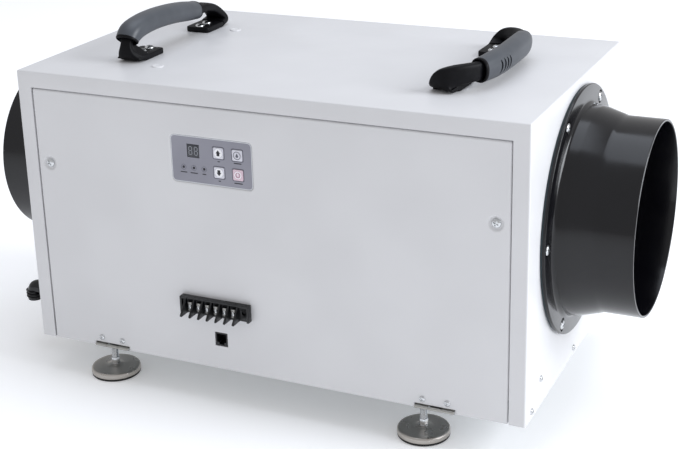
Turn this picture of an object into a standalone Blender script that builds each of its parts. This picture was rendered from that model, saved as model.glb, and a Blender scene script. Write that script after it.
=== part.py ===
"""A ducted crawl-space dehumidifier: white steel cabinet, drop-down front door, two duct collars,
two strap handles, four levelling feet, and the refrigeration and fan parts inside.

X runs along the air path, -Y is the front, +Z is up. The floor is Z = 0.
"""

import math

import bmesh
import bpy
from mathutils import Vector

MM = 0.001

# Cabinet
CABINET_WIDTH = 566 * MM
CABINET_DEPTH = 330 * MM
CABINET_HEIGHT = 308 * MM
FOOT_HEIGHT = 42 * MM
SHEET = 1.5 * MM
GAP = 0.3 * MM
FRAME_SIDE = 17 * MM
FRAME_TOP = 17.5 * MM
REAR_LIP = 14 * MM
PAN_RIM = 24 * MM
PAN_SETBACK = 3.4 * MM
PAN_LIFT = 0.6 * MM

# Front door
DOOR_GAP = 1.0 * MM
DOOR_SILL = 0.5 * MM
DOOR_FLANGE = 12 * MM
DOOR_SCREW_INSET = 32.5 * MM
DOOR_SCREW_RISE = 208 * MM
SCREW_TAB = 22 * MM

# Door hinges
HINGE_SPACING = 379 * MM
HINGE_LENGTH = 42.5 * MM
HINGE_KNUCKLE_RADIUS = 2.6 * MM
HINGE_PIN_RADIUS = 1.1 * MM
HINGE_PIN_CLEARANCE = 0.1 * MM
HINGE_LEAF = 1.1 * MM
HINGE_LEAF_RISE = 22 * MM
HINGE_BASE_DEPTH = 15 * MM
HINGE_AXIS_OUT = 1.2 * MM
HINGE_AXIS_RISE = 1.8 * MM

# Control panel, measured from the cabinet's centre line and underside
BEZEL_WIDTH = 94 * MM
BEZEL_HEIGHT = 50.5 * MM
BEZEL_X = -51.3 * MM
BEZEL_RISE = 232.3 * MM
BEZEL_RECESS = 0.9 * MM
BEZEL_CORNER = 5 * MM
BEZEL_BORDER = 3 * MM
BEZEL_WALL = 2 * MM
BEZEL_DEPTH = 9 * MM
BUTTON_SIZE = 11.6 * MM
BUTTON_CLEARANCE = 0.35 * MM
BUTTON_PROUD = 0.8 * MM
BUTTON_TRAVEL = 0.7 * MM
BUTTON_LEFT_COLUMN = 8.6 * MM
BUTTON_COLUMN_PITCH = 21.6 * MM
BUTTON_ROW_PITCH = 20.8 * MM
DISPLAY_SIZE = 14 * MM
DISPLAY_OFFSET = -20.9 * MM
INDICATOR_PITCH = 12 * MM
INDICATOR_DROP = 8.9 * MM
INDICATOR_RADIUS = 1.3 * MM
BOARD_THICKNESS = 1.6 * MM

# Terminal strip and data socket
TERMINAL_POLES = 6
TERMINAL_PITCH = 10.3 * MM
TERMINAL_EAR = 11.5 * MM
TERMINAL_SHORT_EAR = 6.3 * MM
TERMINAL_HEIGHT = 18.5 * MM
TERMINAL_X = -56.6 * MM
TERMINAL_RISE = 71.8 * MM
TERMINAL_BASE = 7 * MM
TERMINAL_RIM = 2.4 * MM
TERMINAL_POCKET = 3 * MM
TERMINAL_BARRIER = 19 * MM
TERMINAL_SLOPE = 16 * MM
TERMINAL_BARRIER_THICKNESS = 2 * MM
SOCKET_WIDTH = 15.2 * MM
SOCKET_HEIGHT = 16 * MM
SOCKET_X = -50.9 * MM
SOCKET_RISE = 34.8 * MM
SOCKET_DEPTH = 14 * MM

# Duct collars
DUCT_RADIUS = 101 * MM
DUCT_WALL = 2.5 * MM
DUCT_LENGTH = 83 * MM
DUCT_BASE_RADIUS = 109 * MM
DUCT_CONE_START = 19 * MM
DUCT_CONE_END = 42 * MM
DUCT_FLANGE_RADIUS = 130 * MM
DUCT_FLANGE = 3 * MM
DUCT_SCREW_CIRCLE = 120.5 * MM
DUCT_RISE = 169.5 * MM
DUCT_SEGMENTS = 48
GASKET = 2 * MM

# Strap handles
HANDLE_LEFT_X = -186 * MM
HANDLE_RIGHT_X = 172 * MM
HANDLE_ROOT_OFFSET = 88 * MM
HANDLE_AXIS_RISE = 9 * MM
HANDLE_PLATE_LENGTH = 40 * MM
HANDLE_PLATE_WIDTH = 30 * MM
HANDLE_PLATE = 6 * MM
HANDLE_LUG_HEIGHT = 15 * MM
HANDLE_LUG = 8 * MM
HANDLE_LUG_WIDTH = 16 * MM
HANDLE_EYE = 6 * MM
GRIP_WIDTH = 27 * MM
GRIP_HEIGHT = 25 * MM
GRIP_WALL = 2.5 * MM
STRAP_HEIGHT = 13 * MM
STRAP_ROOT = 14 * MM

# Levelling feet
FOOT_LEFT_X = -203 * MM
FOOT_RIGHT_X = 169 * MM
FOOT_INSET = 22 * MM
FOOT_RADIUS = 27.5 * MM
FOOT_PAD = 2.5 * MM
FOOT_CAP_TOP = 10.5 * MM
STEM_RADIUS = 3.9 * MM
STEM_HEX = 8.8 * MM
STEM_HEX_HEIGHT = 8 * MM
STEM_INSIDE = 24 * MM
STEM_CLEARANCE = 0.3 * MM
LEG_NUT_RADIUS = 9 * MM
LEG_NUT_HEIGHT = 8 * MM

# Fittings on the left wall
DRAIN_INSET = 48 * MM
DRAIN_RISE = 33 * MM
DRAIN_RADIUS = 7 * MM
DRAIN_REACH = 44 * MM
DRAIN_BARB_RADIUS = 10 * MM
GLAND_INSET = 52 * MM
GLAND_RADIUS = 8 * MM

# Air path inside
FILTER_THICKNESS = 12 * MM
FILTER_SIZE = 246 * MM
COIL_HEIGHT = 238 * MM
COIL_MARGIN = 80 * MM
EVAPORATOR_THICKNESS = 40 * MM
CONDENSER_THICKNESS = 30 * MM
COIL_SPACE = 8 * MM
TRAY_HEIGHT = 26 * MM
TRAY_LEG = 18 * MM
TRAY_WALL = 2 * MM
SHROUD_X = -148 * MM
SHROUD_THICKNESS = 2 * MM
SHROUD_MARGIN = 4 * MM
FAN_RADIUS = 104 * MM
FAN_INLET_RADIUS = 84 * MM
FAN_DEPTH = 48 * MM
FAN_BLADES = 7
FAN_RISE = 169.5 * MM
MOTOR_RADIUS = 44 * MM
MOTOR_LENGTH = 58 * MM
SHAFT_RADIUS = 4 * MM
SHAFT_CLEARANCE = 0.1 * MM
PIPE_RADIUS = 4.5 * MM

# Compressor
COMPRESSOR_X = 130 * MM
COMPRESSOR_Y = 20 * MM
COMPRESSOR_RADIUS = 58 * MM
COMPRESSOR_HEIGHT = 190 * MM
COMPRESSOR_FOOT = 14 * MM
ACCUMULATOR_RADIUS = 23 * MM
ACCUMULATOR_HEIGHT = 130 * MM
ACCUMULATOR_SPACE = 14 * MM

# Worked out from the sizes above
LEFT = -CABINET_WIDTH / 2
RIGHT = CABINET_WIDTH / 2
FRONT = -CABINET_DEPTH / 2
BACK = CABINET_DEPTH / 2
BOTTOM = FOOT_HEIGHT
TOP = FOOT_HEIGHT + CABINET_HEIGHT
DOOR_HALF = CABINET_WIDTH / 2 - FRAME_SIDE - DOOR_GAP
DOOR_TOP = TOP - FRAME_TOP - DOOR_GAP
HINGE_Y = FRONT - HINGE_AXIS_OUT
HINGE_Z = BOTTOM + HINGE_AXIS_RISE
PAN_FLOOR = BOTTOM + PAN_LIFT + SHEET
BEZEL_Z = BOTTOM + BEZEL_RISE
DUCT_Z = BOTTOM + DUCT_RISE
FAN_Z = BOTTOM + FAN_RISE
AXIS_Z = TOP + HANDLE_AXIS_RISE
DRAIN_Y = FRONT + DRAIN_INSET
DRAIN_Z = BOTTOM + DRAIN_RISE
COIL_WIDTH = CABINET_DEPTH - COIL_MARGIN
TRAY_BOTTOM = PAN_FLOOR + GAP
TRAY_FLOOR = TRAY_BOTTOM + TRAY_LEG
TRAY_RIM = TRAY_FLOOR + TRAY_HEIGHT
FILTER_X = LEFT + SHEET + 2 * MM
EVAPORATOR_X = FILTER_X + FILTER_THICKNESS + COIL_SPACE
CONDENSER_X = EVAPORATOR_X + EVAPORATOR_THICKNESS + COIL_SPACE
COIL_BOTTOM = TRAY_RIM + GAP

FINISHES = {
    "powder_coat_white": ("#EDF1F4", 0.35, 0.0),
    "galvanised_steel": ("#A9ADB0", 0.4, 1.0),
    "stainless_steel": ("#C9CBCC", 0.25, 1.0),
    "satin_nickel": ("#8E8A86", 0.3, 1.0),
    "black_abs": ("#1C1D20", 0.3, 0.0),
    "black_rubber": ("#141416", 0.6, 0.0),
    "grip_grey": ("#5C6066", 0.45, 0.0),
    "overlay_grey": ("#8F8F9A", 0.4, 0.0),
    "button_silver": ("#D4D4DC", 0.4, 0.0),
    "button_rose": ("#D9BFCB", 0.4, 0.0),
    "display_glass": ("#2C2D33", 0.1, 0.0),
    "light_pipe": ("#2A2A32", 0.2, 0.0),
    "circuit_board": ("#1F5B38", 0.5, 0.0),
    "terminal_black": ("#17181B", 0.4, 0.0),
    "gasket_foam": ("#4B5A60", 0.8, 0.0),
    "drain_brass": ("#B08A45", 0.35, 1.0),
    "filter_media": ("#D8DCDF", 0.9, 0.0),
    "coil_aluminium": ("#B9C2C8", 0.4, 1.0),
    "tray_white": ("#E3E5E6", 0.5, 0.0),
    "fan_black": ("#202225", 0.5, 0.0),
    "motor_enamel": ("#33363A", 0.45, 0.0),
    "compressor_enamel": ("#101113", 0.35, 0.0),
    "copper_tube": ("#B87352", 0.3, 1.0),
}


def linear(value):
    """One sRGB channel, 0 to 1, as linear light."""
    return value / 12.92 if value <= 0.04045 else ((value + 0.055) / 1.055) ** 2.4


def finish(name):
    """The Principled material of this name, made the first time it is asked for."""
    material = bpy.data.materials.get(name)
    if material:
        return material
    code, roughness, metallic = FINISHES[name]
    channels = [linear(int(code[i:i + 2], 16) / 255) for i in (1, 3, 5)]
    material = bpy.data.materials.new(name)
    material.use_nodes = True
    shader = material.node_tree.nodes["Principled BSDF"]
    shader.inputs["Base Color"].default_value = (*channels, 1)
    shader.inputs["Roughness"].default_value = roughness
    shader.inputs["Metallic"].default_value = metallic
    material.diffuse_color = (*channels, 1)
    return material


def place(name, shape, material=None, origin=(0, 0, 0)):
    """Turn a bmesh in world coordinates into an object whose origin is at the given point."""
    bmesh.ops.recalc_face_normals(shape, faces=shape.faces)
    bmesh.ops.translate(shape, verts=shape.verts, vec=-Vector(origin))
    mesh = bpy.data.meshes.new(name)
    shape.to_mesh(mesh)
    shape.free()
    part = bpy.data.objects.new(name, mesh)
    part.location = origin
    bpy.context.scene.collection.objects.link(part)
    if material:
        mesh.materials.append(finish(material))
        mesh.shade_smooth()
        mesh.set_sharp_from_angle(angle=math.radians(35))
    return part


def combine(part, shape, operation):
    """Cut a bmesh from a part, or join it on, with an exact Boolean and a hidden helper."""
    count = len(part.modifiers) + 1
    helper = place(f"helper_{part.name}_{count}", shape)
    helper.hide_render = True
    helper.display_type = "WIRE"
    modifier = part.modifiers.new(f"{operation.lower()}_{count}", "BOOLEAN")
    modifier.operation = operation
    modifier.solver = "EXACT"
    modifier.object = helper


def cut(part, shape):
    combine(part, shape, "DIFFERENCE")


def join(part, shape):
    combine(part, shape, "UNION")


def add_box(shape, low, high):
    """Add an axis-aligned box between two corners."""
    size = Vector(high) - Vector(low)
    centre = (Vector(high) + Vector(low)) / 2
    made = bmesh.ops.create_cube(shape, size=1)
    bmesh.ops.scale(shape, vec=size, verts=made["verts"])
    bmesh.ops.translate(shape, vec=centre, verts=made["verts"])


def boxes(*corners):
    """A bmesh of separate boxes, each given as its low and high corner."""
    shape = bmesh.new()
    for low, high in corners:
        add_box(shape, low, high)
    return shape


def add_prism(shape, outline, axis, low, high):
    """Extrude an outline along an axis. Its points are in the other two axes, in X, Y, Z order."""
    def point(pair, height):
        values = list(pair)
        values.insert(axis, height)
        return shape.verts.new(values)
    ends = [[point(pair, height) for pair in outline] for height in (low, high)]
    for end in ends:
        shape.faces.new(end)
    count = len(outline)
    for i in range(count):
        j = (i + 1) % count
        shape.faces.new((ends[0][i], ends[0][j], ends[1][j], ends[1][i]))


def rounded_rectangle(centre, width, height, radius, steps=4):
    """The corner points of a rounded rectangle, with each corner as an arc."""
    points = []
    for corner in range(4):
        start = corner * math.pi / 2
        sign_x = 1 if corner in (0, 3) else -1
        sign_y = 1 if corner in (0, 1) else -1
        middle_x = centre[0] + sign_x * (width / 2 - radius)
        middle_y = centre[1] + sign_y * (height / 2 - radius)
        for step in range(steps + 1):
            angle = start + step * math.pi / 2 / steps
            points.append((middle_x + radius * math.cos(angle), middle_y + radius * math.sin(angle)))
    return points


def add_lathe(shape, profile, centre, axis, segments, ring=False):
    """Turn a profile of (radius, height) about an axis. A ring's profile closes on itself."""
    across = [i for i in range(3) if i != axis]
    rows = []
    for radius, height in profile:
        row = []
        for step in range(segments if radius > 0 else 1):
            angle = 2 * math.pi * step / segments
            place_at = list(centre)
            place_at[axis] += height
            place_at[across[0]] += radius * math.cos(angle)
            place_at[across[1]] += radius * math.sin(angle)
            row.append(shape.verts.new(place_at))
        rows.append(row)
    pairs = list(zip(rows, rows[1:]))
    if ring:
        pairs.append((rows[-1], rows[0]))
    for first, second in pairs:
        for step in range(segments):
            after = (step + 1) % segments
            corners = [first[step % len(first)], first[after % len(first)],
                       second[after % len(second)], second[step % len(second)]]
            shape.faces.new(list(dict.fromkeys(corners)))


def add_cylinder(shape, centre, axis, radius, low, high, segments=24):
    """Add a cylinder between two heights along an axis, measured from its centre point."""
    add_lathe(shape, [(0, low), (radius, low), (radius, high), (0, high)], centre, axis, segments)


def cylinder(*values, **options):
    shape = bmesh.new()
    add_cylinder(shape, *values, **options)
    return shape


def add_loft(shape, loops, ring=False):
    """Skin loops of points. Open lofts get flat ends, and a ring joins its last loop to its first."""
    rows = [[shape.verts.new(point) for point in loop] for loop in loops]
    count = len(rows[0])
    pairs = list(zip(rows, rows[1:]))
    if ring:
        pairs.append((rows[-1], rows[0]))
    else:
        shape.faces.new(rows[0])
        shape.faces.new(rows[-1])
    for first, second in pairs:
        for i in range(count):
            j = (i + 1) % count
            shape.faces.new((first[i], first[j], second[j], second[i]))


def spline(points, steps):
    """A smooth curve through the points, with this many steps between each two."""
    points = [Vector(point) for point in points]
    ends = [2 * points[0] - points[1]] + points + [2 * points[-1] - points[-2]]
    curve = []
    for before, start, finish_at, after in zip(ends, ends[1:], ends[2:], ends[3:]):
        for step in range(steps):
            t = step / steps
            curve.append(0.5 * (2 * start + (finish_at - before) * t
                                + (2 * before - 5 * start + 4 * finish_at - after) * t ** 2
                                + (3 * start - before - 3 * finish_at + after) * t ** 3))
    return curve + [points[-1]]


def tube_loops(path, side, widths, heights, sides):
    """Oval loops square to a path. Side is the direction of the width."""
    loops = []
    for i, point in enumerate(path):
        tangent = (path[min(i + 1, len(path) - 1)] - path[max(i - 1, 0)]).normalized()
        across = (side - tangent * side.dot(tangent)).normalized()
        up = tangent.cross(across)
        loop = []
        for step in range(sides):
            angle = 2 * math.pi * step / sides
            loop.append(point + across * widths[i] / 2 * math.cos(angle)
                        + up * heights[i] / 2 * math.sin(angle))
        loops.append(loop)
    return loops


def build_shell():
    """The steel wrap: top, both ends and the folded strips that frame the front and the back."""
    shell = place("cabinet_shell", boxes(((LEFT, FRONT, BOTTOM), (RIGHT, BACK, TOP))), "powder_coat_white")
    below = BOTTOM - 10 * MM
    cut(shell, boxes(((LEFT + SHEET, FRONT + SHEET, below), (RIGHT - SHEET, BACK - SHEET, TOP - SHEET))))
    opening = CABINET_WIDTH / 2 - FRAME_SIDE
    cut(shell, boxes(((-opening, FRONT - SHEET, below), (opening, FRONT + 2 * SHEET, TOP - FRAME_TOP))))
    rear = CABINET_WIDTH / 2 - REAR_LIP
    cut(shell, boxes(((-rear, BACK - 2 * SHEET, below), (rear, BACK + SHEET, TOP - REAR_LIP))))
    bores = bmesh.new()
    bore = DUCT_BASE_RADIUS - DUCT_WALL
    for wall in (LEFT, RIGHT):
        add_cylinder(bores, (wall, 0, DUCT_Z), 0, bore, -3 * SHEET, 3 * SHEET, segments=DUCT_SEGMENTS)
    cut(shell, bores)
    fittings = bmesh.new()
    for y, radius in ((DRAIN_Y, DRAIN_RADIUS), (BACK - GLAND_INSET, GLAND_RADIUS)):
        add_cylinder(fittings, (LEFT, y, DRAIN_Z), 0, radius + GAP, -3 * SHEET, 3 * SHEET)
    cut(shell, fittings)
    tabs = bmesh.new()
    tab_y = FRONT + DOOR_FLANGE + 2 * MM
    tab_z = BOTTOM + DOOR_SCREW_RISE
    for sign in (-1, 1):
        outer = sign * (CABINET_WIDTH / 2 - SHEET / 2)
        inner = sign * (CABINET_WIDTH / 2 - DOOR_SCREW_INSET - SCREW_TAB / 2)
        low_x, high_x = sorted((outer, inner))
        add_box(tabs, (low_x, tab_y, tab_z - SCREW_TAB / 2), (high_x, tab_y + SHEET, tab_z + SCREW_TAB / 2))
    join(shell, tabs)
    holes = bmesh.new()
    for sign in (-1, 1):
        middle = (sign * (CABINET_WIDTH / 2 - DOOR_SCREW_INSET), tab_y, tab_z)
        add_cylinder(holes, middle, 1, 3.2 * MM, -SHEET, 2 * SHEET, segments=16)
    cut(shell, holes)


def foot_places():
    """Each foot's name ending and its place on the floor."""
    for side, x in (("left", FOOT_LEFT_X), ("right", FOOT_RIGHT_X)):
        for end, y in (("front", FRONT + FOOT_INSET), ("rear", BACK - FOOT_INSET)):
            yield f"{side}_{end}", x, y


def build_pan():
    """The floor pan: a folded tray with a rim all round and a nut welded in over each foot."""
    low = Vector((LEFT + SHEET + GAP, FRONT + PAN_SETBACK, BOTTOM + PAN_LIFT))
    high = Vector((RIGHT - SHEET - GAP, BACK - 2 * SHEET - 2 * GAP, BOTTOM + PAN_LIFT + PAN_RIM))
    pan = place("base_pan", boxes((low, high)), "galvanised_steel")
    wall = Vector((SHEET, SHEET, SHEET))
    cut(pan, boxes((low + wall, high + Vector((-SHEET, -SHEET, SHEET)))))
    nuts = bmesh.new()
    holes = bmesh.new()
    for _, x, y in foot_places():
        add_cylinder(nuts, (x, y, PAN_FLOOR), 2, LEG_NUT_RADIUS, -SHEET / 2, LEG_NUT_HEIGHT, segments=6)
        add_cylinder(holes, (x, y, PAN_FLOOR), 2, STEM_RADIUS + STEM_CLEARANCE, -3 * SHEET, 2 * LEG_NUT_HEIGHT,
                     segments=20)
    join(pan, nuts)
    cut(pan, holes)


def build_rear_panel():
    """The flat rear panel, behind the lips of the wrap."""
    high_y = BACK - SHEET - GAP
    low = (LEFT + SHEET + GAP, high_y - SHEET, BOTTOM + PAN_LIFT)
    high = (RIGHT - SHEET - GAP, high_y, TOP - SHEET - GAP)
    place("rear_panel", boxes((low, high)), "powder_coat_white")


def build_door():
    """The drop-down door with its folded edges, its notches for the hinges and its cut-outs."""
    origin = (0, HINGE_Y, HINGE_Z)
    sill = BOTTOM + DOOR_SILL
    face = ((-DOOR_HALF, FRONT, sill), (DOOR_HALF, FRONT + DOOR_FLANGE, DOOR_TOP))
    door = place("front_door", boxes(face), "powder_coat_white", origin)
    inside = ((-DOOR_HALF + SHEET, FRONT + SHEET, BOTTOM - SHEET),
              (DOOR_HALF - SHEET, FRONT + 2 * DOOR_FLANGE, DOOR_TOP - SHEET))
    above_pan = BOTTOM + PAN_LIFT + PAN_RIM + 1 * MM
    below_flange = ((-DOOR_HALF - SHEET, FRONT + SHEET, BOTTOM - SHEET),
                    (DOOR_HALF + SHEET, FRONT + 2 * DOOR_FLANGE, above_pan))
    cut(door, boxes(inside))
    cut(door, boxes(below_flange))
    openings = boxes(
        *(((x - HINGE_LENGTH / 2 - 0.5 * MM, FRONT - SHEET, BOTTOM - SHEET),
           (x + HINGE_LENGTH / 2 + 0.5 * MM, FRONT + 2 * SHEET, HINGE_Z + HINGE_KNUCKLE_RADIUS + 0.5 * MM))
          for x in (-HINGE_SPACING / 2, HINGE_SPACING / 2)),
        ((SOCKET_X - SOCKET_WIDTH / 2, FRONT - SHEET, BOTTOM + SOCKET_RISE - SOCKET_HEIGHT / 2),
         (SOCKET_X + SOCKET_WIDTH / 2, FRONT + 2 * SHEET, BOTTOM + SOCKET_RISE + SOCKET_HEIGHT / 2)),
    )
    panel = rounded_rectangle((BEZEL_X, BEZEL_Z), BEZEL_WIDTH, BEZEL_HEIGHT, BEZEL_CORNER)
    add_prism(openings, panel, 1, FRONT - SHEET, FRONT + 2 * SHEET)
    for sign in (-1, 1):
        middle = (sign * (CABINET_WIDTH / 2 - DOOR_SCREW_INSET), FRONT, BOTTOM + DOOR_SCREW_RISE)
        add_cylinder(openings, middle, 1, 2.4 * MM, -SHEET, 2 * SHEET, segments=16)
    cut(door, openings)


def knuckle(shape, x, low, high):
    """One hinge knuckle, without its bore, between two distances from the hinge's middle."""
    add_cylinder(shape, (x, HINGE_Y, HINGE_Z), 0, HINGE_KNUCKLE_RADIUS, low, high, segments=20)


def build_hinge(side, x):
    """A three-knuckle butt hinge: a leaf behind the door, a leaf under the pan and the pin."""
    origin = (x, HINGE_Y, HINGE_Z)
    third = HINGE_LENGTH / 6
    half = HINGE_LENGTH / 2
    bore = HINGE_PIN_RADIUS + HINGE_PIN_CLEARANCE

    back = FRONT + SHEET + GAP
    web_top = HINGE_Z + HINGE_KNUCKLE_RADIUS - 0.1 * MM
    door_leaf = place(
        f"hinge_door_leaf_{side}",
        boxes(((x - half, back, web_top - HINGE_LEAF), (x + half, back + HINGE_LEAF, HINGE_Z + HINGE_LEAF_RISE))),
        "stainless_steel", origin)
    web = boxes(*(((x + low, HINGE_Y, web_top - HINGE_LEAF), (x + high, back + HINGE_LEAF / 2, web_top))
                  for low, high in ((-half, -third - GAP), (third + GAP, half))))
    join(door_leaf, web)
    outer = bmesh.new()
    knuckle(outer, x, -half, -third - GAP)
    knuckle(outer, x, third + GAP, half)
    join(door_leaf, outer)
    cut(door_leaf, cylinder(origin, 0, bore, -HINGE_LENGTH, HINGE_LENGTH, segments=20))

    floor = HINGE_Z - HINGE_KNUCKLE_RADIUS
    base_leaf = place(
        f"hinge_base_leaf_{side}",
        boxes(((x - half, FRONT + PAN_SETBACK, floor), (x + half, FRONT + HINGE_BASE_DEPTH, floor + HINGE_LEAF))),
        "stainless_steel", origin)
    tongue = boxes(((x - third, HINGE_Y, floor), (x + third, FRONT + 2 * PAN_SETBACK, floor + HINGE_LEAF)))
    join(base_leaf, tongue)
    middle = bmesh.new()
    knuckle(middle, x, -third, third)
    join(base_leaf, middle)
    cut(base_leaf, cylinder(origin, 0, bore, -HINGE_LENGTH, HINGE_LENGTH, segments=20))

    place(f"hinge_pin_{side}", cylinder(origin, 0, HINGE_PIN_RADIUS, -half, half, segments=20),
          "stainless_steel", origin)


def build_door_screw(side, x):
    """A pan-head screw through the door into the tab behind it."""
    middle = (x, FRONT, BOTTOM + DOOR_SCREW_RISE)
    head = 5 * MM
    shank = 2 * MM
    tip = DOOR_FLANGE + 2 * MM + 3 * SHEET
    shape = bmesh.new()
    profile = [(0, -3.2 * MM), (0.55 * head, -3 * MM), (0.9 * head, -1.9 * MM), (head, -GAP),
               (shank, -GAP), (shank, tip - 1.5 * MM), (0, tip)]
    add_lathe(shape, profile, middle, 1, 20)
    place(f"door_screw_{side}", shape, "stainless_steel", middle)


def button_places():
    """Each button's name and finish and its centre in X and Z."""
    left = BEZEL_X + BUTTON_LEFT_COLUMN
    right = left + BUTTON_COLUMN_PITCH
    upper = BEZEL_Z + BUTTON_ROW_PITCH / 2
    lower = BEZEL_Z - BUTTON_ROW_PITCH / 2
    yield "button_up", "button_silver", left, upper
    yield "button_down", "button_silver", left, lower
    yield "button_drain", "button_silver", right, upper
    yield "button_power", "button_rose", right, lower


def build_controls():
    """The control panel, set just behind the door's face: bezel, display, buttons, lights and board."""
    face = FRONT + BEZEL_RECESS
    centre = (BEZEL_X, BEZEL_Z)
    back = FRONT + BEZEL_DEPTH
    flange = FRONT + SHEET + GAP
    fit = BEZEL_WIDTH - 2 * GAP, BEZEL_HEIGHT - 2 * GAP, BEZEL_CORNER - GAP
    half_w = BEZEL_WIDTH / 2 + BEZEL_BORDER
    half_h = BEZEL_HEIGHT / 2 + BEZEL_BORDER
    shape = bmesh.new()
    add_prism(shape, rounded_rectangle(centre, *fit), 1, face, flange + BEZEL_WALL / 2)
    bezel = place("control_bezel", shape, "overlay_grey", (BEZEL_X, FRONT, BEZEL_Z))
    join(bezel, boxes(((BEZEL_X - half_w, flange, BEZEL_Z - half_h), (BEZEL_X + half_w, back, BEZEL_Z + half_h))))
    pocket = flange + BEZEL_WALL / 2
    cut(bezel, boxes(((BEZEL_X - half_w + BEZEL_WALL, pocket, BEZEL_Z - half_h + BEZEL_WALL),
                      (BEZEL_X + half_w - BEZEL_WALL, back + BEZEL_WALL, BEZEL_Z + half_h - BEZEL_WALL))))
    windows = bmesh.new()
    reach = BUTTON_SIZE / 2 + BUTTON_CLEARANCE
    for _, _, x, z in button_places():
        add_box(windows, (x - reach, face - SHEET, z - reach), (x + reach, pocket + SHEET, z + reach))
    display_x = BEZEL_X + DISPLAY_OFFSET
    display_z = BEZEL_Z + BUTTON_ROW_PITCH / 2 - 1 * MM
    reach = DISPLAY_SIZE / 2 + GAP
    add_box(windows, (display_x - reach, face - SHEET, display_z - reach),
            (display_x + reach, pocket + SHEET, display_z + reach))
    lights = [display_x + step * INDICATOR_PITCH for step in (-1, 0, 1)]
    light_z = BEZEL_Z - INDICATOR_DROP
    for x in lights:
        add_cylinder(windows, (x, face, light_z), 1, INDICATOR_RADIUS + GAP, -SHEET, 3 * SHEET, segments=12)
    cut(bezel, windows)

    board_y = back - BOARD_THICKNESS - 1 * MM
    reach = DISPLAY_SIZE / 2
    place("display_module", boxes(((display_x - reach, face + GAP, display_z - reach),
                                   (display_x + reach, board_y - GAP, display_z + reach))),
          "display_glass", (display_x, FRONT, display_z))
    reach = BUTTON_SIZE / 2
    for name, colour, x, z in button_places():
        cap = place(name, boxes(((x - reach, face - BUTTON_PROUD, z - reach), (x + reach, pocket, z + reach))),
                    colour, (x, face, z))
        stem_end = board_y - pocket - BUTTON_TRAVEL - GAP
        join(cap, cylinder((x, pocket, z), 1, 2 * MM, -SHEET / 2, stem_end, segments=12))
    bar_low = pocket + GAP
    bar = boxes(((lights[0] - 2 * MM, bar_low, light_z - 2 * MM), (lights[2] + 2 * MM, board_y - GAP, light_z + 2 * MM)))
    pipe = place("indicator_lights", bar, "light_pipe", (display_x, FRONT, light_z))
    posts = bmesh.new()
    for x in lights:
        add_cylinder(posts, (x, face, light_z), 1, INDICATOR_RADIUS, -0.2 * MM, bar_low - face + GAP, segments=12)
    join(pipe, posts)
    margin = BEZEL_WALL + GAP
    place("control_board", boxes(((BEZEL_X - half_w + margin, board_y, BEZEL_Z - half_h + margin),
                                  (BEZEL_X + half_w - margin, board_y + BOARD_THICKNESS, BEZEL_Z + half_h - margin))),
          "circuit_board", (BEZEL_X, FRONT, BEZEL_Z))


def build_terminals():
    """The six-pole barrier strip and the data socket below it."""
    half_row = (TERMINAL_POLES * TERMINAL_PITCH + TERMINAL_BARRIER_THICKNESS) / 2
    centre_z = BOTTOM + TERMINAL_RISE
    low_z = centre_z - TERMINAL_HEIGHT / 2
    high_z = centre_z + TERMINAL_HEIGHT / 2
    back = FRONT - GAP
    strip = place("terminal_block", boxes(((TERMINAL_X - half_row - TERMINAL_SHORT_EAR, back - TERMINAL_BASE, low_z),
                                           (TERMINAL_X + half_row + TERMINAL_EAR, back, high_z))),
                  "terminal_black", (TERMINAL_X, FRONT, centre_z))
    fin = [(back - TERMINAL_BASE / 2, low_z), (back - TERMINAL_BARRIER, low_z),
           (back - TERMINAL_BARRIER, high_z - TERMINAL_SLOPE), (back - TERMINAL_BASE / 2, high_z)]
    barriers = bmesh.new()
    first = TERMINAL_X - TERMINAL_POLES * TERMINAL_PITCH / 2
    for pole in range(TERMINAL_POLES + 1):
        middle = first + pole * TERMINAL_PITCH
        add_prism(barriers, fin, 0, middle - TERMINAL_BARRIER_THICKNESS / 2, middle + TERMINAL_BARRIER_THICKNESS / 2)
    join(strip, barriers)
    rims = TERMINAL_BARRIER_THICKNESS + TERMINAL_RIM
    pockets = bmesh.new()
    for sign, ear in ((-1, TERMINAL_SHORT_EAR), (1, TERMINAL_EAR)):
        outer = TERMINAL_X + sign * (half_row + ear - TERMINAL_RIM)
        low_x, high_x = sorted((outer, outer - sign * (ear - rims)))
        add_box(pockets, (low_x, back - 2 * TERMINAL_BASE, low_z - SHEET),
                (high_x, back - TERMINAL_BASE + TERMINAL_POCKET, high_z - TERMINAL_RIM))
    cut(strip, pockets)
    holes = bmesh.new()
    for sign, ear in ((-1, TERMINAL_SHORT_EAR), (1, TERMINAL_EAR)):
        x = TERMINAL_X + sign * (half_row + ear - TERMINAL_RIM - (ear - rims) / 2)
        add_cylinder(holes, (x, FRONT, centre_z), 1, 2.4 * MM, -2 * TERMINAL_BASE, 0, segments=16)
    cut(strip, holes)

    middle_z = BOTTOM + SOCKET_RISE
    half_w = SOCKET_WIDTH / 2 - GAP
    half_h = SOCKET_HEIGHT / 2 - GAP
    socket = place("data_socket", boxes(((SOCKET_X - half_w, FRONT + GAP, middle_z - half_h),
                                         (SOCKET_X + half_w, FRONT + SOCKET_DEPTH, middle_z + half_h))),
                   "terminal_black", (SOCKET_X, FRONT, middle_z))
    wall = 1.6 * MM
    mouth = ((SOCKET_X - half_w + wall, FRONT - 2 * MM, middle_z - half_h + 4 * MM),
             (SOCKET_X + half_w - wall, FRONT + SOCKET_DEPTH - 2 * MM, middle_z + half_h - wall))
    latch = ((SOCKET_X - 3 * MM, FRONT - 2 * MM, middle_z - half_h + wall),
             (SOCKET_X + 3 * MM, FRONT + SOCKET_DEPTH - 2 * MM, middle_z - half_h + 5 * MM))
    cut(socket, boxes(mouth))
    cut(socket, boxes(latch))


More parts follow.
